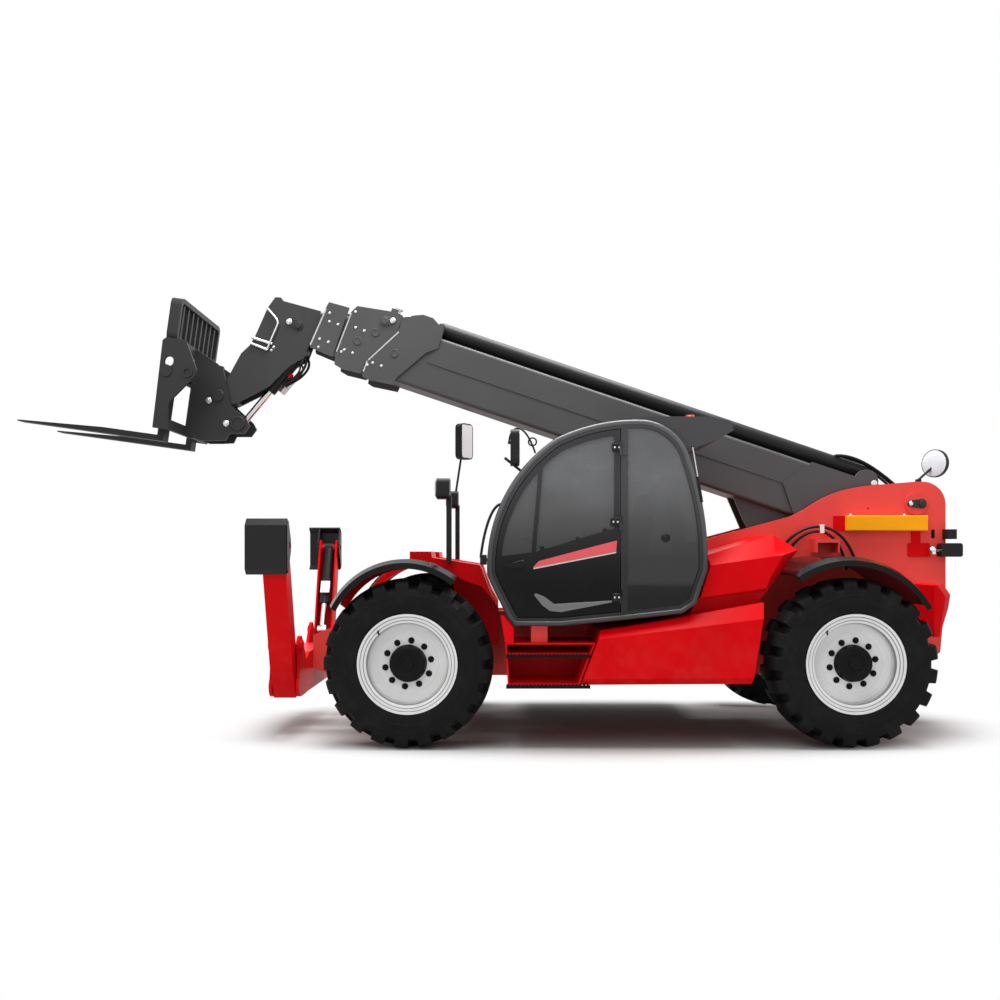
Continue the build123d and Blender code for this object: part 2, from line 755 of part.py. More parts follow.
carriage_outline = [
    (373, 326), (343, 357), (236, 349), (184, 341), (72, 129), (74, 86), (236, -130), (259, -176),
    (240, -374), (358, -372),
]
backrest_middle = (backrest_low + backrest_high) / 2
backrest_height = backrest_high - backrest_low
backrest_plane = Plane(origin=carriage_side.from_local_coords(Vector(backrest_rear, backrest_middle, 0)),
                       x_dir=(0, 1, 0), z_dir=carriage_dir)
with BuildPart() as fork_carriage:
    with BuildSketch(carriage_side.offset(-carriage_half)):
        with BuildLine():
            Polyline(*carriage_outline, close=True)
        make_face()
        with Locations((300, 168)):
            RectangleRounded(72, 76, 34, mode=Mode.SUBTRACT)
    extrude(amount=carriage_plate)
    with BuildSketch(carriage_side.offset(-carriage_half - 10)):
        with Locations(fork_shaft):
            Circle(48)
        with Locations((141, 99)):
            Circle(42)
            Circle(28, mode=Mode.SUBTRACT)
    extrude(amount=10)
    mirror(about=carriage_side)
    with BuildSketch(carriage_side):
        with Locations(fork_shaft):
            Circle(fork_shaft_radius)
        with Locations((256, -330), (256, 320)):
            Rectangle(40, 80)
    extrude(amount=carriage_half, both=True)
    with BuildSketch(backrest_plane):
        RectangleRounded(2 * carriage_half, backrest_height, 60)
        RectangleRounded(2 * (carriage_half - backrest_bar), backrest_height - 2 * backrest_bar, 30,
                         mode=Mode.SUBTRACT)
    extrude(amount=backrest_depth)
    with BuildSketch(backrest_plane.offset((backrest_depth - slat_depth) / 2)):
        with GridLocations(2 * carriage_half / (slat_count + 1), 0, slat_count, 1):
            Rectangle(slat_width, backrest_height - backrest_bar)
    extrude(amount=slat_depth)
fork_carriage.part.label = "fork_carriage"
export_step(fork_carriage.part, "parts/fork_carriage.step")

with BuildPart() as forks:
    with BuildSketch(carriage_side.offset(-fork_y - fork_width / 2)):
        with BuildLine():
            Polyline((300, 90), (300, fork_under), (fork_tip, fork_under), (fork_tip, fork_under + 10),
                     (800, fork_under + fork_thickness), (352, fork_under + fork_thickness), (352, 90),
                     close=True)
        make_face()
        with Locations(fork_shaft):
            Circle(62)
            Circle(fork_shaft_radius + run_gap, mode=Mode.SUBTRACT)
    extrude(amount=fork_width)
    mirror(about=carriage_side)
forks.part.label = "forks"
export_step(forks.part, "parts/forks.step")

# Stabilizers
leg_plane = Plane.YZ.offset(leg_x)
leg_vector = Vector(leg_top[0] - leg_pivot[0], leg_top[1] - leg_pivot[1], 0)
leg_length = leg_vector.length
leg_lean = degrees(atan2(leg_vector.X, leg_vector.Y))
lean_sin = sin(radians(leg_lean))
lean_cos = cos(radians(leg_lean))


def leg_point(along, out):
    """Place in the leg's plane, along the leg from its pivot and outward from it."""
    return (leg_pivot[0] + along * lean_sin + out * lean_cos,
            leg_pivot[1] + along * lean_cos - out * lean_sin)


with BuildPart() as left_stabilizer_leg:
    with BuildSketch(leg_plane):
        with BuildLine():
            Polyline(leg_point(-70, -60), leg_point(-70, 60), leg_point(200, 110),
                     leg_point(leg_length - 120, 90), leg_point(leg_length + 60, 50),
                     leg_point(leg_length + 60, -50),
                     leg_point(leg_length - 200, -70), leg_point(120, -60), close=True)
        make_face()
    extrude(amount=leg_half, both=True)
    with BuildSketch(leg_plane):
        with BuildLine():
            Polyline(leg_point(-120, -200), leg_point(-120, 20), leg_point(200, 94),
                     leg_point(leg_length - 120, 74), leg_point(leg_length + 10, 50),
                     leg_point(leg_length + 120, 50), leg_point(leg_length + 120, -200), close=True)
        make_face()
    extrude(amount=leg_half - leg_wall, both=True, mode=Mode.SUBTRACT)
    with BuildSketch(leg_plane):
        with Locations(leg_pivot):
            Circle(32 + run_gap)
    extrude(amount=leg_half, both=True, mode=Mode.SUBTRACT)
    with BuildSketch(leg_plane):
        with Locations(leg_top):
            Circle(28)
    extrude(amount=leg_half + 15, both=True)
left_stabilizer_leg.part.label = "left_stabilizer_leg"
export_step(left_stabilizer_leg.part, "parts/left_stabilizer_leg.step")

with BuildPart() as left_stabilizer_pad:
    with BuildSketch(Plane.YZ.offset(leg_x + 50 - sole_length / 2)):
        with BuildLine():
            sole_fold = Polyline((sole_y - 52, sole_z + 205), (sole_y, sole_z + 155), (sole_y, sole_z - 165),
                                 (sole_y - 38, sole_z - 205))
            offset(sole_fold, amount=sole_sheet, side=Side.RIGHT)
        make_face()
    extrude(amount=sole_length)
    for cheek_x in (leg_x + leg_half + free_gap, leg_x - leg_half - free_gap - cheek_plate):
        with BuildSketch(Plane.YZ.offset(cheek_x)):
            with BuildLine():
                Polyline((sole_y - sole_sheet, sole_z - 165), (sole_y - sole_sheet, sole_z + 155),
                         (sole_y - 60, sole_z + 190), (leg_top[0] - 45, leg_top[1] + 40),
                         (leg_top[0] - 45, leg_top[1] - 40), (sole_y - 46, sole_z - 195), close=True)
            make_face()
            with Locations(leg_top):
                Circle(50)
                Circle(28 + run_gap, mode=Mode.SUBTRACT)
        extrude(amount=cheek_plate)
left_stabilizer_pad.part.label = "left_stabilizer_pad"
export_step(left_stabilizer_pad.part, "parts/left_stabilizer_pad.step")

leg_head = Vector(leg_x, leg_top[0], leg_top[1])
foot_eye = Vector(leg_x, ram_foot[0], ram_foot[1])
foot_length = (foot_eye - leg_head).length
foot_plane = Plane(origin=leg_head, x_dir=(1, 0, 0), z_dir=(foot_eye - leg_head).normalized())
with BuildPart() as left_stabilizer_barrel:
    with BuildSketch(Plane.YZ.offset(leg_x - 40)):
        with Locations(leg_top):
            Circle(44)
    extrude(amount=80)
    with BuildSketch(foot_plane.offset(20)):
        Circle(46)
    extrude(amount=560)
    with BuildSketch(foot_plane.offset(60)):
        Circle(36)
    extrude(amount=480, mode=Mode.SUBTRACT)
    with BuildSketch(foot_plane.offset(500)):
        Circle(26 + run_gap)
    extrude(amount=100, mode=Mode.SUBTRACT)
    with BuildSketch(Plane.YZ.offset(leg_x - 46)):
        with Locations(leg_top):
            Circle(28 + run_gap)
    extrude(amount=92, mode=Mode.SUBTRACT)
left_stabilizer_barrel.part.label = "left_stabilizer_barrel"
export_step(left_stabilizer_barrel.part, "parts/left_stabilizer_barrel.step")

with BuildPart() as left_stabilizer_rod:
    with BuildSketch(foot_plane.offset(100)):
        Circle(26)
    extrude(amount=foot_length - 130)
    with BuildSketch(Plane.YZ.offset(leg_x - 40)):
        with Locations(ram_foot):
            Circle(44)
    extrude(amount=80)
left_stabilizer_rod.part.label = "left_stabilizer_rod"
export_step(left_stabilizer_rod.part, "parts/left_stabilizer_rod.step")

with BuildPart() as right_stabilizer_leg:
    mirror(left_stabilizer_leg.part, about=Plane.XZ)
right_stabilizer_leg.part.label = "right_stabilizer_leg"
export_step(right_stabilizer_leg.part, "parts/right_stabilizer_leg.step")

with BuildPart() as right_stabilizer_pad:
    mirror(left_stabilizer_pad.part, about=Plane.XZ)
right_stabilizer_pad.part.label = "right_stabilizer_pad"
export_step(right_stabilizer_pad.part, "parts/right_stabilizer_pad.step")

with BuildPart() as right_stabilizer_barrel:
    mirror(left_stabilizer_barrel.part, about=Plane.XZ)
right_stabilizer_barrel.part.label = "right_stabilizer_barrel"
export_step(right_stabilizer_barrel.part, "parts/right_stabilizer_barrel.step")

with BuildPart() as right_stabilizer_rod:
    mirror(left_stabilizer_rod.part, about=Plane.XZ)
right_stabilizer_rod.part.label = "right_stabilizer_rod"
export_step(right_stabilizer_rod.part, "parts/right_stabilizer_rod.step")

ear_gap = leg_half + free_gap
with BuildPart() as stabilizer_beam:
    with BuildSketch(Plane.YZ.offset(1470)):
        with BuildLine():
            Polyline((-600, 330), (600, 330), (600, 560), (400, 640), (-400, 640), (-600, 560), close=True)
        make_face()
    extrude(amount=leg_x + ear_gap + 25 - 1470)
    for ear_x in (leg_x - ear_gap - 25, leg_x + ear_gap):
        with BuildSketch(Plane.YZ.offset(ear_x)):
            with BuildLine():
                Polyline((560, 330), (leg_pivot[0], 330), (leg_pivot[0] + 50, 480), (leg_pivot[0] + 35, 570),
                         (ram_foot[0] + 45, 660), (ram_foot[0], 798), (ram_foot[0] - 60, 770), (560, 600),
                         close=True)
            make_face()
            with Locations(leg_pivot):
                Circle(80)
            with Locations(ram_foot):
                Circle(72)
        extrude(amount=25)
    mirror(about=Plane.XZ)
    for pin_y in (-leg_pivot[0], leg_pivot[0]):
        with BuildSketch(Plane.YZ.offset(leg_x - ear_gap - 25)):
            with Locations((pin_y, leg_pivot[1])):
                Circle(32)
        extrude(amount=2 * ear_gap + 50)
        with BuildSketch(Plane.YZ.offset(leg_x - ear_gap - 40)):
            with Locations((pin_y, ram_foot[1])):
                Circle(40)
        extrude(amount=40)
        with BuildSketch(Plane.YZ.offset(leg_x + ear_gap)):
            with Locations((pin_y, ram_foot[1])):
                Circle(40)
        extrude(amount=40)
stabilizer_beam.part.label = "stabilizer_beam"
export_step(stabilizer_beam.part, "parts/stabilizer_beam.step")

# Cab
cab_width = cab_outer - cab_inner
cab_middle = (cab_outer + cab_inner) / 2
with BuildPart() as cab_shell:
    with BuildSketch(side_at(cab_outer)) as cab_face:
        with BuildLine():
            foot = Polyline((-1588, 1311), (-1504, 1060), (-1403, 992), (-950, 942), (-514, outrigger_high),
                            (-178, outrigger_high), (-128, 959), (-10, 1193), (24, 1277))
            front = ThreePointArc(foot @ 1, (-145, 1932), (-480, 2276))
            roof = ThreePointArc(front @ 1, (-849, 2393), (-1118, 2410))
            corner = ThreePointArc(roof @ 1, (-1330, 2325), (-1462, 2117))
            ThreePointArc(corner @ 1, (-1566, 1700), foot @ 0)
        make_face()
    extrude(amount=cab_width)
    with BuildSketch(side_at(cab_outer - cab_wall)) as cab_room:
        add(cab_face.sketch_local)
        offset(amount=-cab_wall, mode=Mode.REPLACE)
    extrude(amount=cab_width - 2 * cab_wall, mode=Mode.SUBTRACT)
    with BuildSketch(side_at(cab_outer)) as door_opening:
        add(cab_face.sketch_local)
        offset(amount=-60, mode=Mode.REPLACE)
        with Locations((b_pillar_x - 1000, 1600)):
            Rectangle(2000, 2000, mode=Mode.SUBTRACT)
    extrude(amount=cab_wall, mode=Mode.SUBTRACT)
    with BuildSketch(side_at(cab_outer)) as quarter_opening:
        add(cab_face.sketch_local)
        offset(amount=-60, mode=Mode.REPLACE)
        with Locations((b_pillar_x + 950, 1600)):
            Rectangle(2000, 2000, mode=Mode.SUBTRACT)
    extrude(amount=cab_wall, mode=Mode.SUBTRACT)
    with BuildSketch(side_at(cab_inner + cab_wall)) as inner_opening:
        add(cab_face.sketch_local)
        offset(amount=-110, mode=Mode.REPLACE)
        with Locations((-800, 1000)):
            Rectangle(2000, 840, mode=Mode.SUBTRACT)
    extrude(amount=cab_wall, mode=Mode.SUBTRACT)
    with BuildSketch(Plane.YZ.offset(-700)):
        with Locations((cab_middle, 1700)):
            Rectangle(cab_width - 160, 1000)
    extrude(amount=900, mode=Mode.SUBTRACT)
    with BuildSketch(Plane.YZ.offset(-1700)):
        with Locations((cab_middle, 1800)):
            Rectangle(cab_width - 160, 560)
    extrude(amount=300, mode=Mode.SUBTRACT)
    with BuildSketch(side_at(cab_outer - 50)):
        with BuildLine():
            Polyline((-1118, 2400), (-1118, visor_top), (-1615, visor_top), (-1770, 2406), (-1792, 2340),
                     (-1682, 2274), (-1512, 2215), (-1440, 2180), (-1388, 2262), (-1269, 2360), close=True)
        make_face()
    extrude(amount=cab_width - 100)
    for hinge_z in hinge_heights:
        with BuildSketch(Plane.XY.offset(hinge_z - 50)):
            with Locations((b_pillar_x + 3, cab_outer + hinge_radius)):
                Circle(hinge_radius)
            with Locations((b_pillar_x - 22, cab_outer + 4)):
                Rectangle(50, 8)
        extrude(amount=50)
cab_shell.part.label = "cab_shell"
export_step(cab_shell.part, "parts/cab_shell.step")

pane = 20
with BuildPart() as cab_glass:
    with BuildSketch(side_at(cab_outer - pane)):
        add(quarter_opening.sketch_local)
    extrude(amount=glass)
    with BuildSketch(side_at(cab_inner + pane)):
        add(inner_opening.sketch_local)
    extrude(amount=glass)
    with BuildSketch(side_at(cab_outer - 80)) as front_pane:
        add(cab_face.sketch_local)
        offset(amount=-pane, mode=Mode.REPLACE)
        offset(front_pane.sketch_local, amount=-glass, mode=Mode.SUBTRACT)
        with Locations((-700, 2200)):
            Rectangle(4000, 1060, align=(Align.CENTER, Align.MIN), mode=Mode.SUBTRACT)
        with Locations((-700, 1200)):
            Rectangle(4000, 1060, align=(Align.CENTER, Align.MAX), mode=Mode.SUBTRACT)
        with Locations((-1400, 1220)):
            Rectangle(600, 600, mode=Mode.SUBTRACT)
        with Locations((-1400, 2280)):
            Rectangle(600, 400, mode=Mode.SUBTRACT)
    extrude(amount=cab_width - 160)
cab_glass.part.label = "cab_glass"
export_step(cab_glass.part, "parts/cab_glass.step")

with BuildPart() as door_frame:
    with BuildSketch(side_at(cab_outer)) as door_face:
        add(door_opening.sketch_local)
        offset(amount=-door_gap, mode=Mode.REPLACE)
    extrude(amount=cab_wall)
    with BuildSketch(side_at(cab_outer)) as door_window:
        add(door_opening.sketch_local)
        offset(amount=-door_gap - 40, mode=Mode.REPLACE)
        with BuildLine():
            Polyline((200, 1413), (-85, 1413), (-328, 1442), (-887, 1611), (-1100, 1650), (-1100, 500),
                     (200, 500), close=True)
        make_face(mode=Mode.SUBTRACT)
        with BuildLine():
            Polyline((-375, 2300), (-405, 2300), (-328, 1400), (-298, 1400), close=True)
        make_face(mode=Mode.SUBTRACT)
    extrude(amount=cab_wall, mode=Mode.SUBTRACT)
    for hinge_z in hinge_heights:
        with BuildSketch(Plane.XY.offset(hinge_z)):
            with Locations((b_pillar_x + 3, cab_outer + hinge_radius)):
                Circle(hinge_radius)
            with Locations((b_pillar_x + 28, cab_outer + 4)):
                Rectangle(50, 8)
        extrude(amount=50)
    with BuildSketch(side_at(cab_outer + 30)):
        with Locations((-175, 1345)):
            SlotOverall(150, 40)
    extrude(amount=30)
door_frame.part.label = "door_frame"
export_step(door_frame.part, "parts/door_frame.step")

with BuildPart() as door_glass:
    with BuildSketch(side_at(cab_outer - pane)):
        add(door_window.sketch_local)
    extrude(amount=glass)
door_glass.part.label = "door_glass"
export_step(door_glass.part, "parts/door_glass.step")

seat_half = 240
base_half = 210
console_half = 300
base_top = 1261
with BuildPart() as cab_interior:
    with BuildSketch(side_at(cab_middle + base_half)):
        with BuildLine():
            Polyline((-690, 950), (-1110, 950), (-1110, base_top), (-690, base_top), close=True)
        make_face()
        add(cab_room.sketch_local, mode=Mode.INTERSECT)
    extrude(amount=2 * base_half)
    with BuildSketch(side_at(cab_middle + console_half)):
        with BuildLine():
            Polyline((-250, outrigger_high + cab_wall), (-400, outrigger_high + cab_wall), (-340, 1240),
                     (-190, 1270), close=True)
        make_face()
    extrude(amount=2 * console_half)
    wheel_dir = Vector(-0.5, 0, 0.87).normalized()
    column_foot = Vector(-290, cab_middle, 1230)
    with BuildSketch(Plane(origin=column_foot, x_dir=(0, 1, 0), z_dir=wheel_dir)):
        Circle(35)
    extrude(amount=260)
    with BuildSketch(Plane(origin=column_foot + wheel_dir * 250, x_dir=(0, 1, 0), z_dir=wheel_dir)):
        Circle(190)
        Circle(160, mode=Mode.SUBTRACT)
        Rectangle(330, 30)
    extrude(amount=28)
cab_interior.part.label = "cab_interior"
export_step(cab_interior.part, "parts/cab_interior.step")

with BuildPart() as seat:
    with BuildSketch(side_at(cab_middle + seat_half)):
        with BuildLine():
            Polyline((-660, base_top), (-1130, base_top), (-1260, 1900), (-1180, 1900), (-1060, 1390),
                     (-660, 1380), close=True)
        make_face()
    extrude(amount=2 * seat_half)
    fillet(seat.edges().filter_by(Axis.Y).sort_by(Axis.Z)[-2:], 30)
seat.part.label = "seat"
export_step(seat.part, "parts/seat.step")

with BuildPart() as beacon:
    with BuildSketch(Plane.XY.offset(visor_top)):
        with Locations((-1545, cab_middle)):
            Circle(45)
    extrude(amount=20)
    with BuildSketch(Plane.XY.offset(visor_top + 20)):
        with Locations((-1545, cab_middle)):
            Circle(38)
    extrude(amount=45, taper=8)
beacon.part.label = "beacon"
export_step(beacon.part, "parts/beacon.step")


# Bodywork on the cab side and the engine side
def deck_height(x):
    """Height of the side tank's sloping deck at a place along the machine."""
    return deck_low + (deck_front - x) * deck_slope


# Each fender: its hub, its inner side, then the fore end, top and aft end of its crown from the hub
fender_arcs = (
    (front_axle_x, fender_inner, (575, 425), (0, 765), (-356, 634)),
    (rear_axle_x, plate_outer, (441, 657), (0, 783), (-568, 430)),
)


def fender_under(fender, drop):
    """The three points of a fender's crown, each moved towards its hub."""
    return [Vector(*point) * (1 - drop / Vector(*point).length) for point in fender[2:]]


with BuildPart() as side_tank:
    tank_rear = rear_axle_x + 646
    tank_foot = rear_axle_x + 745
    with BuildSketch(side_at(bevel_y)) as tank_section:
        with BuildLine():
            Polyline((-659, 468), (-810, 868), (deck_front, deck_low), (tank_rear, deck_height(tank_rear)),
                     (tank_foot, 475), close=True)
        make_face()
    extrude(amount=bevel_y - plate_outer)
    with BuildSketch(side_at(bevel_y)):
        add(tank_section.sketch_local)
    with BuildSketch(side_at(body_outer)):
        with BuildLine():
            Polyline((-659, 468), (-790, 806), (-963, 827), (tank_rear + 22, 955), (tank_foot, 475),
                     close=True)
        make_face()
    loft(ruled=True)
    chamfer(side_tank.faces().sort_by(Axis.Z)[0].edges().sort_by(Axis.Y)[-1], 50)
side_tank.part.label = "side_tank"
export_step(side_tank.part, "parts/side_tank.step")

with BuildPart() as steps:
    with BuildSketch(side_at(step_outer)) as step_outline:
        with BuildLine():
            Polyline((-107, outrigger_low), (-128, step_low), (-642, step_low), (-768, outrigger_low),
                     close=True)
        make_face()
    extrude(amount=step_outer - step_inner)
    with BuildSketch(side_at(step_outer)):
        with BuildLine():
            Polyline((-119, outrigger_low - step_wall), (-124, tread_high), (-726, tread_high),
                     (-752, outrigger_low - step_wall), close=True)
        make_face()
        with BuildLine():
            Polyline((-126, tread_high - tread_depth), (-139, step_low + tread_depth),
                     (-640, step_low + tread_depth), (-713, tread_high - tread_depth), close=True)
        make_face()
    extrude(amount=step_outer - step_inner - step_wall, mode=Mode.SUBTRACT)
    with BuildSketch(side_at(step_outer)):
        with BuildLine():
            Polyline((-107, outrigger_low), (-72, 985), (-100, 975), (-135, 930), (-170, 888),
                     (-170, outrigger_low), close=True)
        make_face()
    extrude(amount=step_wall)
steps.part.label = "steps"
export_step(steps.part, "parts/steps.step")

with BuildPart() as bodywork:
    with BuildSketch(side_at(fender_inner)):
        with BuildLine():
            Polyline((630, 1447), (465, 1447), (457, 1400), (279, 1373), (85, 1342), (8, 1130), (-55, 1010),
                     (70, 1175), (256, 1240), (604, 1350), (630, 1350), close=True)
        make_face()
    extrude(amount=fender_inner - plate_outer)
    with BuildSketch(side_at(450)):
        with BuildLine():
            Polyline((-55, 1010), (-55, 700), (300, 700), (300, 1330), (70, 1180), close=True)
        make_face()
    extrude(amount=450 - plate_outer)
    with BuildSketch(Plane(origin=(front_axle_x, fender_inner + 40, axle_z), x_dir=(1, 0, 0),
                           z_dir=(0, -1, 0))):
        with BuildLine():
            band_top = ThreePointArc(*fender_under(fender_arcs[0], fender_sheet + free_gap))
            band_foot = ThreePointArc(*fender_under(fender_arcs[0], fender_sheet + 64))
            Line(band_top @ 0, band_foot @ 0)
            Line(band_top @ 1, band_foot @ 1)
        make_face()
    extrude(amount=60)
    mirror(about=Plane.XZ)
    box_front = -1500
    box_rear = rear_axle_x + 650
    with BuildSketch(side_at(box_ridge)):
        with BuildLine():
            Polyline((box_front, deck_height(box_front)), (-1620, 1290), (-1625, 1420),
                     (box_rear - 116, 1573), (rear_axle_x + 347, 1458), (rear_axle_x + 507, 1250),
                     (rear_axle_x + 597, 1130),
                     (box_rear, deck_height(box_rear)), close=True)
        make_face()
    extrude(amount=box_ridge - plate_outer)
    with BuildSketch(side_at(box_ridge)):
        with BuildLine():
            Polyline((-1545, 1090), (-1625, 1420), (box_rear - 116, 1573), (rear_axle_x + 347, 1458),
                     (rear_axle_x + 507, 1250), (rear_axle_x + 597, 1150), close=True)
        make_face()
    with BuildSketch(side_at(box_outer)):
        with BuildLine():
            Polyline((-1552, 1103), (-1630, 1343), (box_rear - 103, 1412), (rear_axle_x + 486, 1421),
                     (rear_axle_x + 586, 1251), (rear_axle_x + 614, 1174), close=True)
        make_face()
    loft(ruled=True)
bodywork.part.label = "bodywork"
export_step(bodywork.part, "parts/bodywork.step")

hinge_places = (engine_front - 300, engine_rear + 300)
hood_knuckle = 60
with BuildPart() as engine:
    with BuildSketch(side_at(-plate_outer)):
        with BuildLine():
            Polyline((engine_front - 40, 560), (engine_front - 40, 1080), (engine_front - 200, 1150),
                     (engine_rear + 200, 1150), (engine_rear + 40, 1080), (engine_rear + 40, 560), close=True)
        make_face()
    extrude(amount=engine_outer - plate_outer)
    for hinge_x in hinge_places:
        with BuildSketch(Plane.YZ.offset(hinge_x)):
            with Locations(hood_hinge):
                Circle(15)
            with BuildLine():
                Polyline((hood_hinge[0] - 12, 1100), (hood_hinge[0] - 12, hood_hinge[1]),
                         (hood_hinge[0] + 12, hood_hinge[1]), (hood_hinge[0] + 12, 1100), close=True)
            make_face()
        extrude(amount=hood_knuckle)
engine.part.label = "engine"
export_step(engine.part, "parts/engine.step")

with BuildPart() as engine_hood:
    with BuildSketch(Plane.YZ.offset(engine_rear)) as hood_section:
        with BuildLine():
            crown = Polyline((hood_hinge[0] - 40, 700), (hood_hinge[0] - 40, hood_hinge[1] + 10),
                             (-760, 1300))
            shoulder = TangentArc(crown @ 1, (-hood_outer, 1000), tangent=crown % 1)
            Polyline(shoulder @ 1, (-hood_outer, 700), crown @ 0)
        make_face()
    extrude(amount=engine_front - engine_rear)
    with BuildSketch(Plane.YZ.offset(engine_rear + hood_sheet)):
        add(hood_section.sketch_local)
        offset(amount=-hood_sheet, mode=Mode.REPLACE)
    extrude(amount=engine_front - engine_rear - 2 * hood_sheet, mode=Mode.SUBTRACT)
    with BuildSketch(Plane.YZ.offset(engine_rear - 10)):
        with BuildLine():
            Polyline((hood_hinge[0], 600), (hood_hinge[0], 1250), (hood_hinge[0] - 80, 1250),
                     (hood_hinge[0] - 80, 770), (-1300, 770), (-1300, 600), close=True)
        make_face()
    extrude(amount=engine_front - engine_rear + 20, mode=Mode.SUBTRACT)
    with BuildSketch(side_at(-hood_outer)):
        with Locations((rear_axle_x + 1250, 910)):
            with GridLocations(0, 45, 1, 5):
                SlotOverall(500, 22)
    extrude(amount=2 * hood_sheet, both=True, mode=Mode.SUBTRACT)
    for hinge_x in hinge_places:
        with BuildSketch(Plane.YZ.offset(hinge_x + hood_knuckle)):
            with Locations(hood_hinge):
                Circle(15)
            with BuildLine():
                Polyline((hood_hinge[0] - 60, hood_hinge[1] + 2), (hood_hinge[0] - 60, hood_hinge[1] + 10),
                         (hood_hinge[0], hood_hinge[1] + 10), (hood_hinge[0], hood_hinge[1] + 2), close=True)
            make_face()
        extrude(amount=hood_knuckle)
engine_hood.part.label = "engine_hood"
export_step(engine_hood.part, "parts/engine_hood.step")

with BuildPart() as fenders:
    for fender in fender_arcs:
        hub_x, inner_y = fender[:2]
        crown = (fender[2:], fender_under(fender, fender_sheet))
        lip = (fender_under(fender, fender_fall), fender_under(fender, fender_fall + fender_lip))
        for out, (over, under) in ((inner_y, crown), (fender_crown, crown)):
            with BuildSketch(Plane(origin=(hub_x, out, axle_z), x_dir=(1, 0, 0), z_dir=(0, -1, 0))):
                with BuildLine():
                    upper = ThreePointArc(*over)
                    lower = ThreePointArc(*under)
                    Line(upper @ 0, lower @ 0)
                    Line(upper @ 1, lower @ 1)
                make_face()
        loft(ruled=True)
        for out, (over, under) in ((fender_crown, crown), (fender_outer, lip)):
            with BuildSketch(Plane(origin=(hub_x, out, axle_z), x_dir=(1, 0, 0), z_dir=(0, -1, 0))):
                with BuildLine():
                    upper = ThreePointArc(*over)
                    lower = ThreePointArc(*under)
                    Line(upper @ 0, lower @ 0)
                    Line(upper @ 1, lower @ 1)
                make_face()
        loft(ruled=True)
    mirror(about=Plane.XZ)
fenders.part.label = "fenders"
export_step(fenders.part, "parts/fenders.step")

with BuildPart() as lamps_and_mirrors:
    with BuildSketch(Plane.XY.offset(mast_foot)):
        with Locations((324, mast_y)):
            Rectangle(40, 50)
    extrude(amount=mast_top - mast_foot)
    with BuildSketch(Plane.YZ.offset(316)):
        with Locations((mast_y, 1930)):
            RectangleRounded(200, 155, 35)
    extrude(amount=100)
    mirror(about=Plane.XZ)
    with BuildSketch(Plane(origin=(340, -mast_y, 1995), x_dir=(0, 1, 0), z_dir=(-0.15, 0, 0.99))):
        Circle(10)
    extrude(amount=360)
    with BuildSketch(Plane(origin=(262, -mast_y, 2470), x_dir=(0.6, 0.8, 0), z_dir=(-0.8, 0.6, 0))):
        RectangleRounded(175, 330, 45)
    extrude(amount=35, both=True)
    arm_foot = Vector((front @ 0.7).X, cab_outer - 40, (front @ 0.7).Y)
    arm_dir = Vector(abs((front % 0.7).Y), 0, abs((front % 0.7).X))
    with BuildSketch(Plane(origin=arm_foot + arm_dir * run_gap, x_dir=(0, 1, 0), z_dir=arm_dir)):
        Circle(10)
    extrude(amount=150)
    with BuildSketch(Plane.YZ.offset(-212)):
        with Locations((cab_outer - 50, 2208)):
            RectangleRounded(180, 261, 40)
    extrude(amount=65)
    with BuildSketch(side_at(plate_outer + 100)):
        with Locations((tower_rear - 10, 1461)):
            RectangleRounded(170, 112, 20)
        with Locations((tower_rear - 9, 1590)):
            Rectangle(74, 80)
    extrude(amount=100)
    with BuildSketch(Plane.XY.offset(tower_top)):
        with Locations((rear_axle_x - 868, plate_outer - 15)):
            Rectangle(40, plate_thickness)
    extrude(amount=20)
    with BuildSketch(Plane(origin=(rear_axle_x - 868, plate_outer - 15, tower_top + 15), x_dir=(0, 1, 0),
                           z_dir=(-0.74, 0, 0.67))):
        Circle(10)
    extrude(amount=200)
    with BuildSketch(Plane(origin=(rear_axle_x - 1016, plate_outer - 15, 2175), x_dir=(0, 0, 1),
                           z_dir=(0.84, 0.54, 0))):
        Circle(115)
    extrude(amount=30)
lamps_and_mirrors.part.label = "lamps_and_mirrors"
export_step(lamps_and_mirrors.part, "parts/lamps_and_mirrors.step")

with BuildPart() as side_bar:
    with BuildSketch(side_at(plate_outer + 60)):
        with Locations((rear_axle_x - 584, 1682)):
            Rectangle(662, 125)
    extrude(amount=60)
    chamfer(side_bar.edges().filter_by(Axis.X), 6)
side_bar.part.label = "side_bar"
export_step(side_bar.part, "parts/side_bar.step")
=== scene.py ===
import math

import bmesh
import bpy
import numpy as np
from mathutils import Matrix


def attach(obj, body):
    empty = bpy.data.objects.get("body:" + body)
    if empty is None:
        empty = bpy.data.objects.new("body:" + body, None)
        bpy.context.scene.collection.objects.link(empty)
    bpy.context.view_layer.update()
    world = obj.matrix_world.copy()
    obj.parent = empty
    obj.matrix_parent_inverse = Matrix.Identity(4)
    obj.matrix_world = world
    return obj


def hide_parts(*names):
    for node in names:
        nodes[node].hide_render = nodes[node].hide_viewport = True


# A telescopic handler with forks, seen from its cab side on a pale floor.
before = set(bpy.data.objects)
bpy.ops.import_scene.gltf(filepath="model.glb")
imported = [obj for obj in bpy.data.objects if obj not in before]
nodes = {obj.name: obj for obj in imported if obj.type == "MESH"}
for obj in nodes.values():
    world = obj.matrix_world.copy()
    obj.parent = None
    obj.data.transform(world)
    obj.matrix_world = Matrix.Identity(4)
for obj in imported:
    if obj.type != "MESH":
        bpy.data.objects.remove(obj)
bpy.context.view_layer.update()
scene = bpy.context.scene
scene.view_settings.view_transform = "Standard"

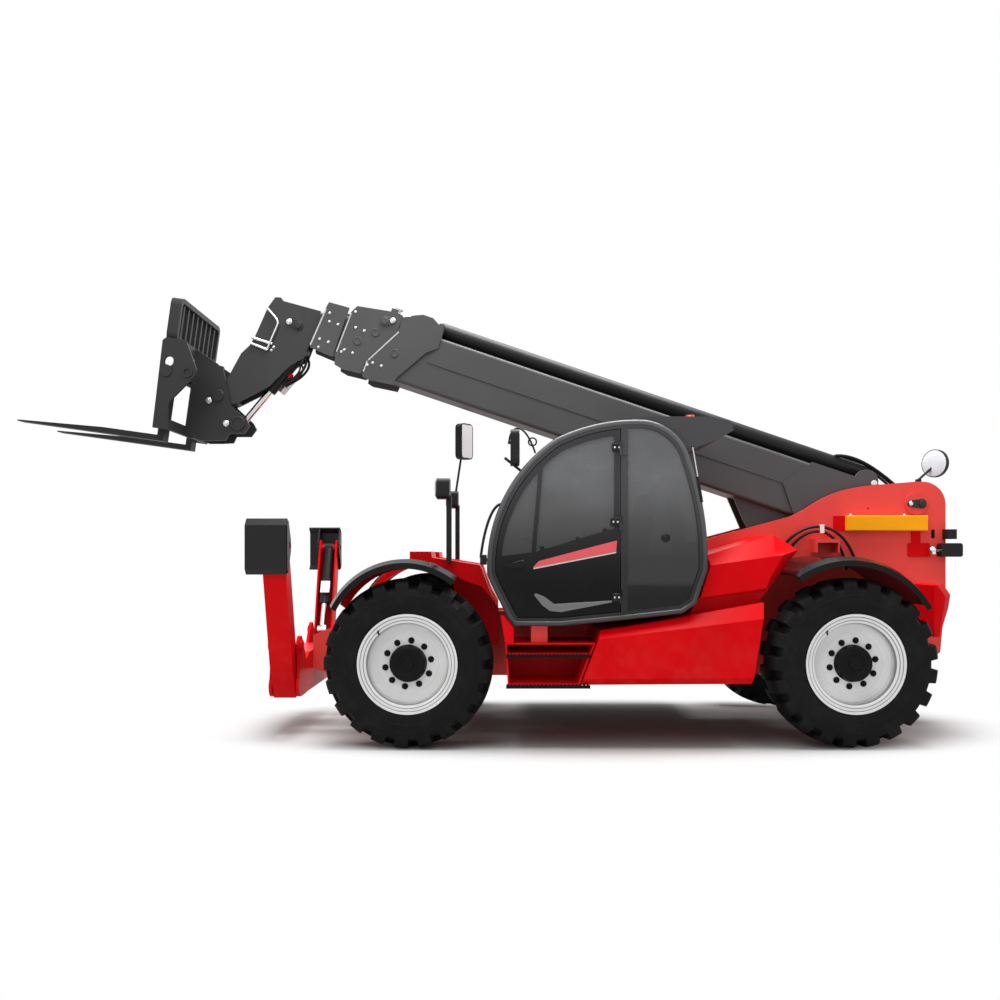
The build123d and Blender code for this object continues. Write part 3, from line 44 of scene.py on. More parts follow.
# Sizes shared with the solids, in metres
PIVOT = np.array([-3.498, 0.0, 1.847])
BOOM_TILT = math.radians(18.7)
BOOM_ALONG = np.array([math.cos(BOOM_TILT), 0.0, math.sin(BOOM_TILT)])
BOOM_UP = np.array([-math.sin(BOOM_TILT), 0.0, math.cos(BOOM_TILT)])
FORWARD = np.array([1.0, 0.0, 0.0])
LEFT = np.array([0.0, 1.0, 0.0])
UP = np.array([0.0, 0.0, 1.0])
FRONT_AXLE = 0.604
REAR_AXLE = FRONT_AXLE - 3.261
AXLE_Z = 0.625
WHEEL_Y = 1.010
CAB_SIDE = 1.150
CAB_MIDDLE = 0.7125
PLATE_SIDE = 0.245
RIM_GROOVES = (0.3445, 0.3205, 0.2975)


def srgb(r, g, b):
    """Linear colour of an sRGB colour given from 0 to 255."""
    c = np.array([r, g, b]) / 255.0
    linear = np.where(c <= 0.04045, c / 12.92, ((c + 0.055) / 1.055) ** 2.4)
    return (*linear.tolist(), 1.0)


# Materials
class Value:
    """A shader socket with arithmetic: each operation adds one Math node beside it."""

    def __init__(self, tree, socket):
        self.tree = tree
        self.socket = socket

    def math(self, operation, *others):
        return node(self.tree, "ShaderNodeMath", {"operation": operation}, [self, *others])

    def __add__(self, other):
        return self.math("ADD", other)

    def __sub__(self, other):
        return self.math("SUBTRACT", other)

    def __rsub__(self, other):
        return node(self.tree, "ShaderNodeMath", {"operation": "SUBTRACT"}, [other, self])

    def __mul__(self, other):
        return self.math("MULTIPLY", other)

    def between(self, low, high):
        """0 below low, 1 above high, smooth between them."""
        settings = {"interpolation_type": "SMOOTHSTEP"}
        limits = {"Value": self, "From Min": low, "From Max": high}
        return node(self.tree, "ShaderNodeMapRange", settings, limits)


def node(tree, kind, settings=(), inputs=(), output=0):
    """Adds a node: its settings first, then the values or links of its sockets; returns one output."""
    made = tree.nodes.new(kind)
    for key, value in dict(settings).items():
        setattr(made, key, value)
    pairs = inputs.items() if isinstance(inputs, dict) else enumerate(inputs)
    for key, value in pairs:
        if isinstance(value, Value):
            tree.links.new(value.socket, made.inputs[key])
        else:
            made.inputs[key].default_value = value
    return Value(tree, made.outputs[output])


def mix_colour(tree, factor, first, second):
    """Colour that goes from first at factor 0 to second at factor 1."""
    return node(tree, "ShaderNodeMix", {"data_type": "RGBA"}, {"Factor": factor, 6: first, 7: second}, 2)


def new_material(name):
    """A material with an empty tree, and its Principled shader joined to the output."""
    material = bpy.data.materials.new(name)
    material.use_nodes = True
    tree = material.node_tree
    return material, tree, tree.nodes["Principled BSDF"]


def shader_set(tree, shader, **values):
    """Sets Principled sockets by name, with spaces written as underscores; links shader values."""
    for key, value in values.items():
        socket = shader.inputs[key.replace("_", " ")]
        if isinstance(value, Value):
            tree.links.new(value.socket, socket)
        else:
            socket.default_value = value


def object_place(tree):
    """Position on the object in metres."""
    return node(tree, "ShaderNodeTexCoord", output=3)


def height(tree):
    """Height above the floor in metres."""
    return node(tree, "ShaderNodeSeparateXYZ", (), [object_place(tree)], 2)


def noise(tree, scale, detail=3.0, rough=0.55, place=None):
    """Noise from 0 to 1 with lumps of about 1 / scale metres."""
    vector = place or object_place(tree)
    return node(tree, "ShaderNodeTexNoise", (), {"Vector": vector, "Scale": scale, "Detail": detail,
                                                 "Roughness": rough})


def stretched(tree, x, y, z):
    """Object position multiplied on each axis, for streaks."""
    return node(tree, "ShaderNodeMapping", (), {"Vector": object_place(tree), "Scale": (x, y, z)})


def bump(tree, value, distance, strength=1.0):
    """Normal bent by a height value."""
    return node(tree, "ShaderNodeBump", (), {"Strength": strength, "Distance": distance, "Height": value})


def paint(name, colour, dusty, rough=0.34, gloss=0.12, dust=0.05, groove_shade=None):
    """Sprayed paint: fine orange peel, faint cloudiness, a little dust low down, and painted shade held in
    grooves.
    """
    material, tree, shader = new_material(name)
    cloud = noise(tree, 1.7)
    grime = noise(tree, 9.0, 5.0, 0.65)
    low = 1 - height(tree).between(0.25, 1.25)
    film = (low * 0.8 + 0.08) * grime.between(0.35, 0.75) * dust
    dark = tuple(0.88 * c for c in colour[:3]) + (1.0,)
    tint = mix_colour(tree, cloud.between(0.3, 0.7), dark, colour)
    tint = mix_colour(tree, film, tint, dusty)
    if groove_shade:
        # painted shade: the grooves' rings are darkened as if shaded
        tint = mix_colour(tree, groove_shade(tree), tint, srgb(70, 69, 68))
    peel = noise(tree, 160.0, 1.0)
    shader_set(tree, shader, Base_Color=tint, Roughness=film * 0.35 + cloud * 0.08 + (rough - 0.04),
               Specular_IOR_Level=gloss, Normal=bump(tree, peel, 0.0006, 0.12))
    return material


def rim_groove_painted_shade(tree):
    """Painted shade: 1 in the narrow rings where a wheel's rim is stepped, by the distance from the nearer
    wheel axis.
    """
    x, y, z = [node(tree, "ShaderNodeSeparateXYZ", (), [object_place(tree)], i) for i in range(3)]
    drop = (z - AXLE_Z) * (z - AXLE_Z)
    front = ((x - FRONT_AXLE) * (x - FRONT_AXLE) + drop).math("SQRT")
    rear = ((x - REAR_AXLE) * (x - REAR_AXLE) + drop).math("SQRT")
    radius = front.math("MINIMUM", rear)
    rings = [1 - (radius - ring).math("ABSOLUTE").between(0.0015, 0.0040) for ring in RIM_GROOVES]
    return (rings[0] + rings[1] + rings[2]) * 0.8


def moulded(name, colour, rough, grain=420.0, depth=0.0005, dust=0.25, gloss=0.25, painted_sheen_tint=None):
    """Moulded or powder-coated finish with a fine grain and a little dust, paler higher up as a painted sheen
    where a tint is given.
    """
    material, tree, shader = new_material(name)
    grains = noise(tree, grain, 2.0)
    wear = noise(tree, 5.0, 4.0)
    dusty = tuple(0.6 * c + 0.10 for c in colour[:3]) + (1.0,)
    low = 1 - height(tree).between(0.2, 1.4)
    if painted_sheen_tint:
        # painted sheen: the colour goes paler higher up
        colour = mix_colour(tree, height(tree).between(1.15, 2.05), colour, painted_sheen_tint)
    tint = mix_colour(tree, wear.between(0.45, 0.8) * (low * 0.8 + 0.15) * dust, colour, dusty)
    shader_set(tree, shader, Base_Color=tint, Roughness=wear * 0.16 + (rough - 0.08),
               Specular_IOR_Level=gloss, Normal=bump(tree, grains, depth, 0.35))
    return material


def metal(name, colour, rough, streak):
    """Bare metal, turned or ground: faint streaks in its gloss."""
    material, tree, shader = new_material(name)
    lines = noise(tree, 30.0, 3.0, 0.6, stretched(tree, *streak))
    shader_set(tree, shader, Base_Color=colour, Metallic=1.0, Roughness=lines * 0.14 + (rough - 0.07),
               Normal=bump(tree, lines, 0.0003, 0.1))
    return material


def rubber(name):
    """Tyre rubber: matt, with dust in random greyer patches."""
    material, tree, shader = new_material(name)
    patch = noise(tree, 6.0, 5.0, 0.65)
    fine = noise(tree, 220.0, 2.0)
    tint = mix_colour(tree, patch.between(0.4, 0.78), srgb(9, 9, 10), srgb(25, 25, 25))
    shader_set(tree, shader, Base_Color=tint, Roughness=patch * 0.2 + 0.56, Specular_IOR_Level=0.14,
               Normal=bump(tree, fine + patch * 0.6, 0.0012, 0.3))
    return material


def window(name, low_tint, reflection_tint, alpha):
    """Tinted pane: paler towards the top as a painted reflection, partly see-through, with a clean gloss and
    a few wiped smears that also mottle the painted reflection.
    """
    material, tree, shader = new_material(name)
    smear_and_reflection_mottle = noise(tree, 3.0, 4.0, 0.6, stretched(tree, 1.0, 1.0, 2.2))
    painted_reflection_rise = height(tree).between(1.35, 2.15)
    # painted reflection: paler higher up, mottled by the smears
    tint = mix_colour(tree, painted_reflection_rise * (smear_and_reflection_mottle * 0.7 + 0.55), low_tint, reflection_tint)
    shader_set(tree, shader, Base_Color=tint, Roughness=smear_and_reflection_mottle * 0.05 + 0.03, Alpha=alpha, Coat_Weight=0.6,
               Coat_Roughness=0.02)
    return material


def lens(name, colour):
    """Clear or coloured lamp cover with a fine ribbed pattern."""
    material, tree, shader = new_material(name)
    across = node(tree, "ShaderNodeSeparateXYZ", (), [object_place(tree)], 1)
    rib = (across * 700.0).math("SINE")
    shader_set(tree, shader, Base_Color=colour, Roughness=rib * 0.03 + 0.10, Coat_Weight=1.0,
               Transmission_Weight=0.35, Normal=bump(tree, rib, 0.0008, 0.4))
    return material


def cloth(name, colour):
    """Woven seat cover: two crossed thread waves, and lint in the hollows."""
    material, tree, shader = new_material(name)
    xyz = object_place(tree)
    x, y, z = [node(tree, "ShaderNodeSeparateXYZ", (), [xyz], i) for i in range(3)]
    weave = ((x + z) * 2400.0).math("SINE") * (y * 2400.0).math("SINE")
    patch = noise(tree, 14.0, 4.0)
    light = tuple(1.9 * c + 0.01 for c in colour[:3]) + (1.0,)
    tint = mix_colour(tree, (weave * 0.25 + 0.35) * patch, colour, light)
    shader_set(tree, shader, Base_Color=tint, Roughness=0.88, Sheen_Weight=0.25,
               Normal=bump(tree, weave, 0.0006, 0.5))
    return material


DUST = srgb(168, 150, 134)
red_paint = paint("red_paint", srgb(212, 2, 12), DUST, 0.34, 0.06)
# A paler copy of the red paint for the tower: painted light for its brighter face
tower_red_lit_copy = paint("tower_red_lit_copy", srgb(236, 76, 70), DUST)
stripe_paint = paint("stripe_paint", srgb(222, 92, 97), DUST)
boom_paint = paint("boom_paint", srgb(80, 80, 81), srgb(140, 136, 130), 0.42, 0.2)
head_paint = paint("head_paint", srgb(60, 60, 61), srgb(120, 116, 110), 0.42, 0.2)
# Pale grey paint: the door's printed underline, and painted highlights along the boom's collar edges
pale_print_and_painted_highlight = paint("pale_print_and_painted_highlight", srgb(196, 196, 196), DUST, 0.4, 0.3)
black_paint = paint("black_paint", srgb(24, 24, 25), srgb(90, 86, 82), 0.40, 0.25)
carriage_paint = paint("carriage_paint", srgb(46, 46, 47), srgb(100, 94, 88), 0.42, 0.25)
hub_paint = paint("hub_paint", srgb(7, 7, 8), srgb(60, 58, 56), 0.42, 0.12)
# Rim paint with painted shade in its grooves
rim_paint = paint("rim_paint", srgb(226, 226, 226), srgb(150, 140, 130), 0.36, 0.3, 0.12, rim_groove_painted_shade)
bar_paint = paint("bar_paint", srgb(254, 170, 16), DUST, 0.36)
fork_paint = paint("fork_paint", srgb(34, 34, 35), srgb(100, 94, 88), 0.45, 0.25)
black_plastic = moulded("black_plastic", srgb(20, 20, 21), 0.45)
fender_plastic = moulded("fender_plastic", srgb(12, 12, 13), 0.18, 300.0, 0.0002, 0.06, 0.2)
# The cab, door and bead trims go paler higher up: a painted sheen
cab_trim = moulded("cab_trim", srgb(20, 20, 21), 0.30, 300.0, 0.0003, 0.08, 0.4, srgb(60, 60, 62))
door_trim = moulded("door_trim", srgb(9, 9, 10), 0.26, 300.0, 0.0003, 0.08, 0.16, srgb(58, 58, 60))
# A lighter copy of the cab trim for the edge bead: a painted highlight
bead_painted_highlight = moulded("bead_painted_highlight", srgb(44, 44, 46), 0.30, 300.0, 0.0003, 0.08, 0.5, srgb(86, 86, 88))
# Grey for the door swoosh: a painted highlight on its moulded recess
swoosh_painted_highlight = moulded("swoosh_painted_highlight", srgb(104, 105, 107), 0.34, 300.0, 0.0003, 0.08, 0.4)
clip_plastic = moulded("clip_plastic", srgb(236, 236, 234), 0.45)
engine_metal = moulded("engine_metal", srgb(70, 70, 72), 0.55, 120.0, 0.001)
interior_plastic = moulded("interior_plastic", srgb(44, 44, 46), 0.6)
hose_rubber = moulded("hose_rubber", srgb(18, 18, 19), 0.42, 500.0, 0.0004, 0.1)
bright_rod = metal("bright_rod", srgb(225, 226, 228), 0.14, (1, 6, 1))
zinc = metal("zinc", srgb(226, 228, 226), 0.30, (4, 4, 4))
# Pale paint for the mirror faces: a painted reflection in place of a real mirror
mirror_painted_reflection = paint("mirror_painted_reflection", srgb(214, 218, 222), DUST, 0.16, 0.6)
tyre_rubber = rubber("tyre_rubber")
# Cab glass, paler higher up as a painted reflection
cab_glass = window("cab_glass", srgb(10, 11, 12), srgb(112, 113, 115), 0.74)
amber_lens = lens("amber_lens", srgb(240, 120, 10))
clear_lens = lens("clear_lens", srgb(226, 232, 236))
red_lens = lens("red_lens", srgb(190, 10, 14))
seat_cloth = cloth("seat_cloth", srgb(30, 30, 32))

SIDES = {"left": 1.0, "right": -1.0}
WHEELS = [f"{end}_{side}" for end in ("front", "rear") for side in SIDES]
finishes = {
    red_paint: ["counterweight", "side_tank", "bodywork", "engine_hood", "steps", "stabilizer_beam"]
    + [f"{side}_stabilizer_leg" for side in SIDES],
    tower_red_lit_copy: ["chassis_frame"],
    boom_paint: ["boom_1", "boom_2", "boom_3"],
    head_paint: ["boom_4"],
    black_paint: ["front_axle", "rear_axle", "lift_barrel", "tilt_barrel", "extension_barrel"]
    + [f"{wheel}_knuckle" for wheel in WHEELS]
    + [f"{side}_stabilizer_{piece}" for side in SIDES for piece in ("pad", "barrel")],
    carriage_paint: ["hitch", "fork_carriage"],
    rim_paint: [f"{wheel}_rim" for wheel in WHEELS],
    tyre_rubber: [f"{wheel}_tyre" for wheel in WHEELS],
    bright_rod: ["extension_rod", "lift_rod", "tilt_rod"] + [f"{side}_stabilizer_rod" for side in SIDES],
    fork_paint: ["forks"],
    black_plastic: ["lamps_and_mirrors"],
    fender_plastic: ["fenders"],
    cab_trim: ["cab_shell"],
    door_trim: ["door_frame"],
    cab_glass: ["cab_glass", "door_glass"],
    interior_plastic: ["cab_interior"],
    seat_cloth: ["seat"],
    amber_lens: ["beacon"],
    engine_metal: ["engine"],
    bar_paint: ["side_bar"],
}
for material, names in finishes.items():
    for name in names:
        nodes[name].data.materials.clear()
        nodes[name].data.materials.append(material)


# Surfaces
def grid_faces(rows, columns, round_rows=False, round_columns=False):
    """Four-cornered faces between neighbours of a grid, joined round where a direction closes."""
    i, j = np.meshgrid(np.arange(rows if round_rows else rows - 1),
                       np.arange(columns if round_columns else columns - 1), indexing="ij")
    below = (i + 1) % rows
    beside = (j + 1) % columns
    corners = [i * columns + j, below * columns + j, below * columns + beside, i * columns + beside]
    return np.stack(corners, -1).reshape(-1, 4)


def unit(vectors):
    """Vectors divided by their lengths."""
    vectors = np.asarray(vectors, float)
    return vectors / np.linalg.norm(vectors, axis=-1, keepdims=True)


def turned(profile, centre, axis, sides=32, ring=False):
    """Turned shape: each (along, radius) pair goes round the axis; a ring closes, others are capped."""
    profile = np.asarray(profile, float)
    axis = unit(axis)
    first = unit(np.cross(axis, np.eye(3)[np.argmin(np.abs(axis))]))
    second = np.cross(axis, first)
    angle = np.linspace(0.0, 2 * np.pi, sides, endpoint=False)[:, None]
    spokes = np.cos(angle) * first + np.sin(angle) * second
    points = np.asarray(centre) + profile[:, :1, None] * axis + profile[:, 1:, None] * spokes
    blocks = [grid_faces(len(profile), sides, ring, True)]
    if not ring:
        around = np.arange(sides)[None]
        blocks += [around, around + (len(profile) - 1) * sides]
    return points.reshape(-1, 3), blocks


def tube(path, radius, sides=12, closed=False):
    """Round bar: a circle carried along a path, square to it at each point; it closes or has caps."""
    path = np.asarray(path, float)
    tangent = np.roll(path, -1, axis=0) - np.roll(path, 1, axis=0) if closed else np.gradient(path, axis=0)
    tangent = unit(tangent)
    flat = np.linalg.svd(path - path.mean(axis=0))[2][2]
    side = unit(np.cross(tangent, flat))[:, None]
    up = unit(np.cross(side[:, 0], tangent))[:, None]
    angle = np.linspace(0.0, 2 * np.pi, sides, endpoint=False)[:, None]
    points = path[:, None] + radius * (np.cos(angle) * side + np.sin(angle) * up)
    around = np.arange(sides)[None]
    caps = [] if closed else [around, around + (len(path) - 1) * sides]
    return points.reshape(-1, 3), [grid_faces(len(path), sides, closed, True)] + caps


def arc(first, middle, last, steps=16):
    """Circle arc through three points of a plane, by the circle's centre and the turn from first to last."""
    first, middle, last = np.asarray([first, middle, last], float)
    sides = 2 * np.array([middle - first, last - first])
    centre = np.linalg.solve(sides, [middle @ middle - first @ first, last @ last - first @ first])
    start, halfway, end = [math.atan2(*(spot - centre)[::-1]) for spot in (first, middle, last)]
    half_turn = (halfway - start + math.pi) % (2 * math.pi) - math.pi
    end_turn = (end - halfway + math.pi) % (2 * math.pi) - math.pi
    angle = start + np.linspace(0.0, half_turn + end_turn, steps)
    return centre + np.linalg.norm(first - centre) * np.stack([np.cos(angle), np.sin(angle)], -1)


def bent(*corners, steps=28):
    """Smooth curve by Bezier weights: it leaves the first corner towards the second and ends at the last."""
    corners = np.asarray(corners, float)
    order = len(corners) - 1
    count = np.arange(order + 1)
    share = np.linspace(0.0, 1.0, steps)[:, None]
    ways = np.array([math.comb(order, k) for k in range(order + 1)])
    return (ways * share ** count * (1 - share) ** (order - count)) @ corners


def rounded(corners, radius, steps=5):
    """Outline whose corners are cut by parabolas that start and end a radius from them."""
    corners = np.asarray(corners, float)
    before = radius * unit(np.roll(corners, 1, axis=0) - corners)[:, None]
    after = radius * unit(np.roll(corners, -1, axis=0) - corners)[:, None]
    share = np.linspace(0.0, 1.0, steps)[None, :, None]
    return (corners[:, None] + before * (1 - share) ** 2 + after * share ** 2).reshape(-1, 2)


def inset(outline, amount):
    """Outline moved inwards: each corner goes along its two edge normals' sum, as long as a mitre is."""
    edge = unit(np.roll(outline, -1, axis=0) - outline)
    normal = np.stack([-edge[:, 1], edge[:, 0]], -1)
    total = normal + np.roll(normal, 1, axis=0)
    return outline + amount * total / np.maximum((total ** 2).sum(axis=1, keepdims=True) / 2, 0.4)


def plate(outline, origin, right, up, depth, bevel=0.001):
    """Bevelled plate: an outline in the plane of right and up, pushed along their cross product."""
    outline = np.asarray(outline, float)
    turn = outline[:, 0] @ np.roll(outline[:, 1], -1) - outline[:, 1] @ np.roll(outline[:, 0], -1)
    outline = outline if turn > 0 else outline[::-1]
    frame_axes = np.array([unit(right), unit(up)])
    out = np.cross(*frame_axes)
    rings = [(bevel, 0.0), (0.0, bevel), (0.0, depth - bevel), (bevel, depth)]
    points = [np.asarray(origin) + inset(outline, pull) @ frame_axes + along * out for pull, along in rings]
    around = np.arange(len(outline))[None]
    blocks = [grid_faces(4, len(outline), False, True), around, around + 3 * len(outline)]
    return np.concatenate(points), blocks


def left_plate(outline, y, depth, bevel=0.001):
    """Plate on the left side: an outline of (x, z) at a depth y, pushed outwards along y."""
    outline = np.asarray(outline, float) * (-1.0, 1.0)
    return plate(outline, (0.0, y, 0.0), (-1, 0, 0), (0, 0, 1), depth, bevel)


def oblong(width, height, radius):
    """Rounded rectangle about the middle."""
    x = width / 2
    y = height / 2
    return rounded([(-x, -y), (x, -y), (x, y), (-x, y)], radius)


def teardrop(big, small, reach, steps=14):
    """Keeper outline: half a big circle at the middle and half a small one at a reach along x."""
    angle = np.linspace(np.pi / 2, 3 * np.pi / 2, steps)
    back = big * np.stack([np.cos(angle), np.sin(angle)], -1)
    front = small * np.stack([-np.cos(angle), -np.sin(angle)], -1) + (reach, 0.0)
    return np.concatenate([back, front])


# Number of sides, then along and radius as shares of the washer's radius
BOLT_SHAPES = [
    (24, np.array([(0.0, 1.0), (0.14, 1.0), (0.24, 0.9)])),
    (6, np.array([(0.0, 0.76), (0.72, 0.76), (0.86, 0.62)])),
    (16, np.array([(0.80, 0.42), (0.95, 0.42), (1.0, 0.36)])),
]


def bolt(place, axis, size):
    """Bolt: a washer, a six-sided head with a chamfer and a round end, sized by the washer's radius."""
    return [turned(size * profile, place, axis, sides) for sides, profile in BOLT_SHAPES]


def bolts(places, axis, size):
    """Shapes of like bolts at several places."""
    return [shape for place in places for shape in bolt(place, axis, size)]


def on_boom(along, up, y):
    """Place from the boom pivot: along the boom, square to it upwards, and across the machine."""
    return PIVOT + along * BOOM_ALONG + up * BOOM_UP + y * LEFT


def piece(name, shapes, material, slot, body, replaces=(), crease=35.0):
    """One object of several shapes: points stacked, faces numbered on; it rides a body, and its slot is not
    used.
    """
    mesh = bpy.data.meshes.new(name)
    starts = np.cumsum([0] + [len(points) for points, blocks in shapes])
    faces = [face for (points, blocks), start in zip(shapes, starts) for block in blocks
             for face in (block + start).tolist()]
    mesh.from_pydata(np.concatenate([points for points, blocks in shapes]).tolist(), [], faces)
    shell = bmesh.new()
    shell.from_mesh(mesh)
    bmesh.ops.recalc_face_normals(shell, faces=shell.faces)
    shell.to_mesh(mesh)
    shell.free()
    mesh.materials.append(material)
    mesh.shade_smooth()
    mesh.set_sharp_from_angle(angle=math.radians(crease))
    held = bpy.data.objects.new(name, mesh)
    scene.collection.objects.link(held)
    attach(held, body)
    if replaces:
        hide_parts(*replaces)
    return held


# Wheels
LUGS = 21
# Offset from the tyre's middle, groove radius and lug radius, from the crown to the bead
TYRE_ROWS = np.array([
    (0.002, 0.575, 0.625), (0.050, 0.5745, 0.6235), (0.100, 0.572, 0.6195), (0.140, 0.5665, 0.6155),
    (0.165, 0.555, 0.604), (0.182, 0.545, 0.592), (0.187, 0.541, 0.586), (0.1895, 0.538, 0.578),
    (0.192, 0.532, 0.552), (0.193, 0.525, 0.530), (0.195, 0.515, 0.515), (0.1965, 0.505, 0.505),
    (0.1985, 0.503, 0.503), (0.1985, 0.497, 0.497), (0.197, 0.495, 0.495), (0.1985, 0.470, 0.470),
    (0.1985, 0.440, 0.440), (0.196, 0.437, 0.437), (0.195, 0.410, 0.410), (0.191, 0.388, 0.388),
    (0.1905, 0.380, 0.380), (0.186, 0.374, 0.374), (0.182, 0.366, 0.366), (0.1795, 0.364, 0.364),
    (0.1735, 0.310, 0.310), (0.172, 0.3055, 0.3055),
])


def lugged_tyre(axle, side):
    """Tyre: rows run over the crown, down both walls and through the bore, and columns go round; the radius
    goes from the groove's to the lug's by a mask that repeats with each lug, half a pitch apart on the
    two halves."""
    edges = np.array([0.0, 0.02, 0.27, 0.52, 0.54, 0.59, 0.61, 0.77, 0.93, 0.95])
    shares = np.unique(np.round(np.concatenate([edges, edges + 0.5]) % 1.0, 6))
    turn = (np.arange(LUGS)[:, None] + shares).ravel()
    rows = np.concatenate([TYRE_ROWS, TYRE_ROWS[::-1] * (-1.0, 1.0, 1.0)])
    share = (turn[None] - np.where(rows[:, :1] > 0, 0.0, 0.5)) % 1.0
    mask = np.interp(share, [0.0, 0.02, 0.52, 0.54, 0.59, 0.61, 0.93, 0.95, 1.0],
                     [0.95, 1.0, 1.0, 0.95, 0.06, 0.0, 0.0, 0.06, 0.95])
    radius = rows[:, 1:2] + (rows[:, 2:] - rows[:, 1:2]) * mask
    angle = turn[None] * 2 * np.pi / LUGS - np.pi / 2
    x = axle + radius * np.cos(angle)
    y = side * (WHEEL_Y + rows[:, :1]) + 0 * angle
    z = AXLE_Z + radius * np.sin(angle)
    return np.stack([x, y, z], -1).reshape(-1, 3), [grid_faces(*radius.shape, True, True)]


# Offset from the wheel's middle and radius, round the rim's section and over its disc and cap
RIM_SECTION = [
    (-0.190, 0.293), (-0.190, 0.360), (-0.182, 0.360), (-0.174, 0.3052), (0.174, 0.3052), (0.1815, 0.356),
    (0.1815, 0.362), (0.186, 0.366), (0.1895, 0.3655), (0.1905, 0.360), (0.1895, 0.350), (0.185, 0.346),
    (0.1835, 0.342), (0.1845, 0.336), (0.1835, 0.322), (0.1795, 0.318), (0.179, 0.312), (0.1775, 0.304),
    (0.172, 0.299), (0.165, 0.297), (0.150, 0.2955), (0.120, 0.2945), (0.106, 0.2935), (0.085, 0.293),
]
DISC_SECTION = [
    (0.085, 0.2935), (0.104, 0.2935), (0.108, 0.284), (0.1065, 0.276), (0.103, 0.268), (0.103, 0.225),
    (0.106, 0.219), (0.108, 0.212), (0.108, 0.060),
]
CAP_SECTION = [
    (0.104, 0.138), (0.114, 0.138), (0.117, 0.134), (0.150, 0.132), (0.163, 0.127), (0.169, 0.118),
    (0.171, 0.106), (0.171, 0.078), (0.167, 0.074), (0.167, 0.048), (0.173, 0.044), (0.175, 0.032),
]
NUT_CIRCLE = 0.170
NUT_FACE = 0.107
NUT_SIZE = 0.0235
VALVE_STEM = np.array([(0.205, 0.172, 0.215), (0.215, 0.184, 0.227), (0.209, 0.190, 0.245)])


def wheel_nuts(centre, axis, count=10):
    """Nuts on a circle about the hub, each a washer, a six-sided nut and a stud."""
    angle = (np.arange(count) + 0.72) * 2 * np.pi / count
    circle = NUT_CIRCLE * np.stack([np.cos(angle), 0 * angle, np.sin(angle)], -1)
    return bolts(centre + circle + NUT_FACE * axis, axis, NUT_SIZE)


for end, axle in (("front", FRONT_AXLE), ("rear", REAR_AXLE)):
    for side_name, side in SIDES.items():
        wheel = f"{end}_{side_name}"
        body = f"{wheel}_wheel"
        middle = np.array([axle, side * WHEEL_Y, AXLE_Z])
        outwards = side * LEFT
        tyre = [lugged_tyre(axle, side)]
        piece(f"{wheel}_lugged_tyre", tyre, tyre_rubber, "tyre", body, [f"{wheel}_tyre"], 28.0)
        rim = [turned(RIM_SECTION, middle, outwards, 96, True), turned(DISC_SECTION, middle, outwards, 96)]
        piece(f"{wheel}_stepped_rim", rim, rim_paint, "rim_paint", body, [f"{wheel}_rim"], 25.0)
        hub = [turned(CAP_SECTION, middle, outwards, 48)] + wheel_nuts(middle, outwards)
        hub.append(tube(bent(*(middle + VALVE_STEM * (1.0, side, 1.0))), 0.006))
        piece(f"{wheel}_hub_and_nuts", hub, hub_paint, "black_paint", body, crease=25.0)

# Boom fittings: how far out each section's flank is, and places along and up the boom
COLLAR_1 = 0.190
COLLAR_2 = 0.165
COLLAR_3 = 0.140
HEAD_SIDE = 0.095
COLLAR_SCREW = 0.011
KEEPER_DEPTH = 0.010
BOSS_RADIUS = 0.036
BOSS_RELIEF = np.array([(0.0, 0.0), (0.004, 0.0), (0.007, -0.004), (0.007, -0.012), (0.004, -0.016)])
STRIP_DEPTH = 0.0025
STRIP_BEVEL = 0.0008
FLAT_SCREW = [(0.0, 0.026), (0.003, 0.026), (0.005, 0.022), (0.005, 0.010)]
BOOM_1_BOLTS = [(4.623, -0.331), (4.660, -0.362), (4.547, -0.332)]
BOOM_2_BOLTS = [(4.899, 0.030), (4.857, -0.094), (4.781, -0.097),
                (4.888, -0.301), (4.905, -0.324), (4.813, -0.302)]
BOOM_3_BOLTS = [(5.107, -0.044), (5.086, -0.112), (5.010, -0.112),
                (5.117, -0.277), (5.040, -0.278), (5.105, -0.344)]
# A keeper's pin, then its screw
KEEPER_2 = ((4.640, 0.034), (4.580, 0.058))
KEEPER_4 = ((5.335, -0.219), (5.414, -0.216))


def boom_bolts(places, y):
    """Bolts on both flanks of a boom section, at places along and up the boom."""
    return [shape for along, up in places for side in SIDES.values()
            for shape in bolt(on_boom(along, up, side * y), side * LEFT, COLLAR_SCREW)]


def boom_discs(places, y):
    """Low round bosses with a bevelled rim on both flanks of a boom section."""
    profile = BOSS_RELIEF + (0.0, BOSS_RADIUS)
    return [turned(profile, on_boom(along, up, side * y), side * LEFT, 40)
            for along, up in places for side in SIDES.values()]


def boom_painted_highlight_strip(first, second, y, width):
    """Narrow raised strip on both flanks, from one place on the boom to another, pale as a painted highlight.
    """
    first = np.asarray(first)
    second = np.asarray(second)
    across = width / 2 * unit(second - first)[::-1] * (-1.0, 1.0)
    outline = np.array([first - across, second - across, second + across, first + across])
    near = plate(outline * (-1.0, 1.0), on_boom(0, 0, y), -BOOM_ALONG, BOOM_UP, STRIP_DEPTH, STRIP_BEVEL)
    far = plate(outline, on_boom(0, 0, -y), BOOM_ALONG, BOOM_UP, STRIP_DEPTH, STRIP_BEVEL)
    return [near, far]


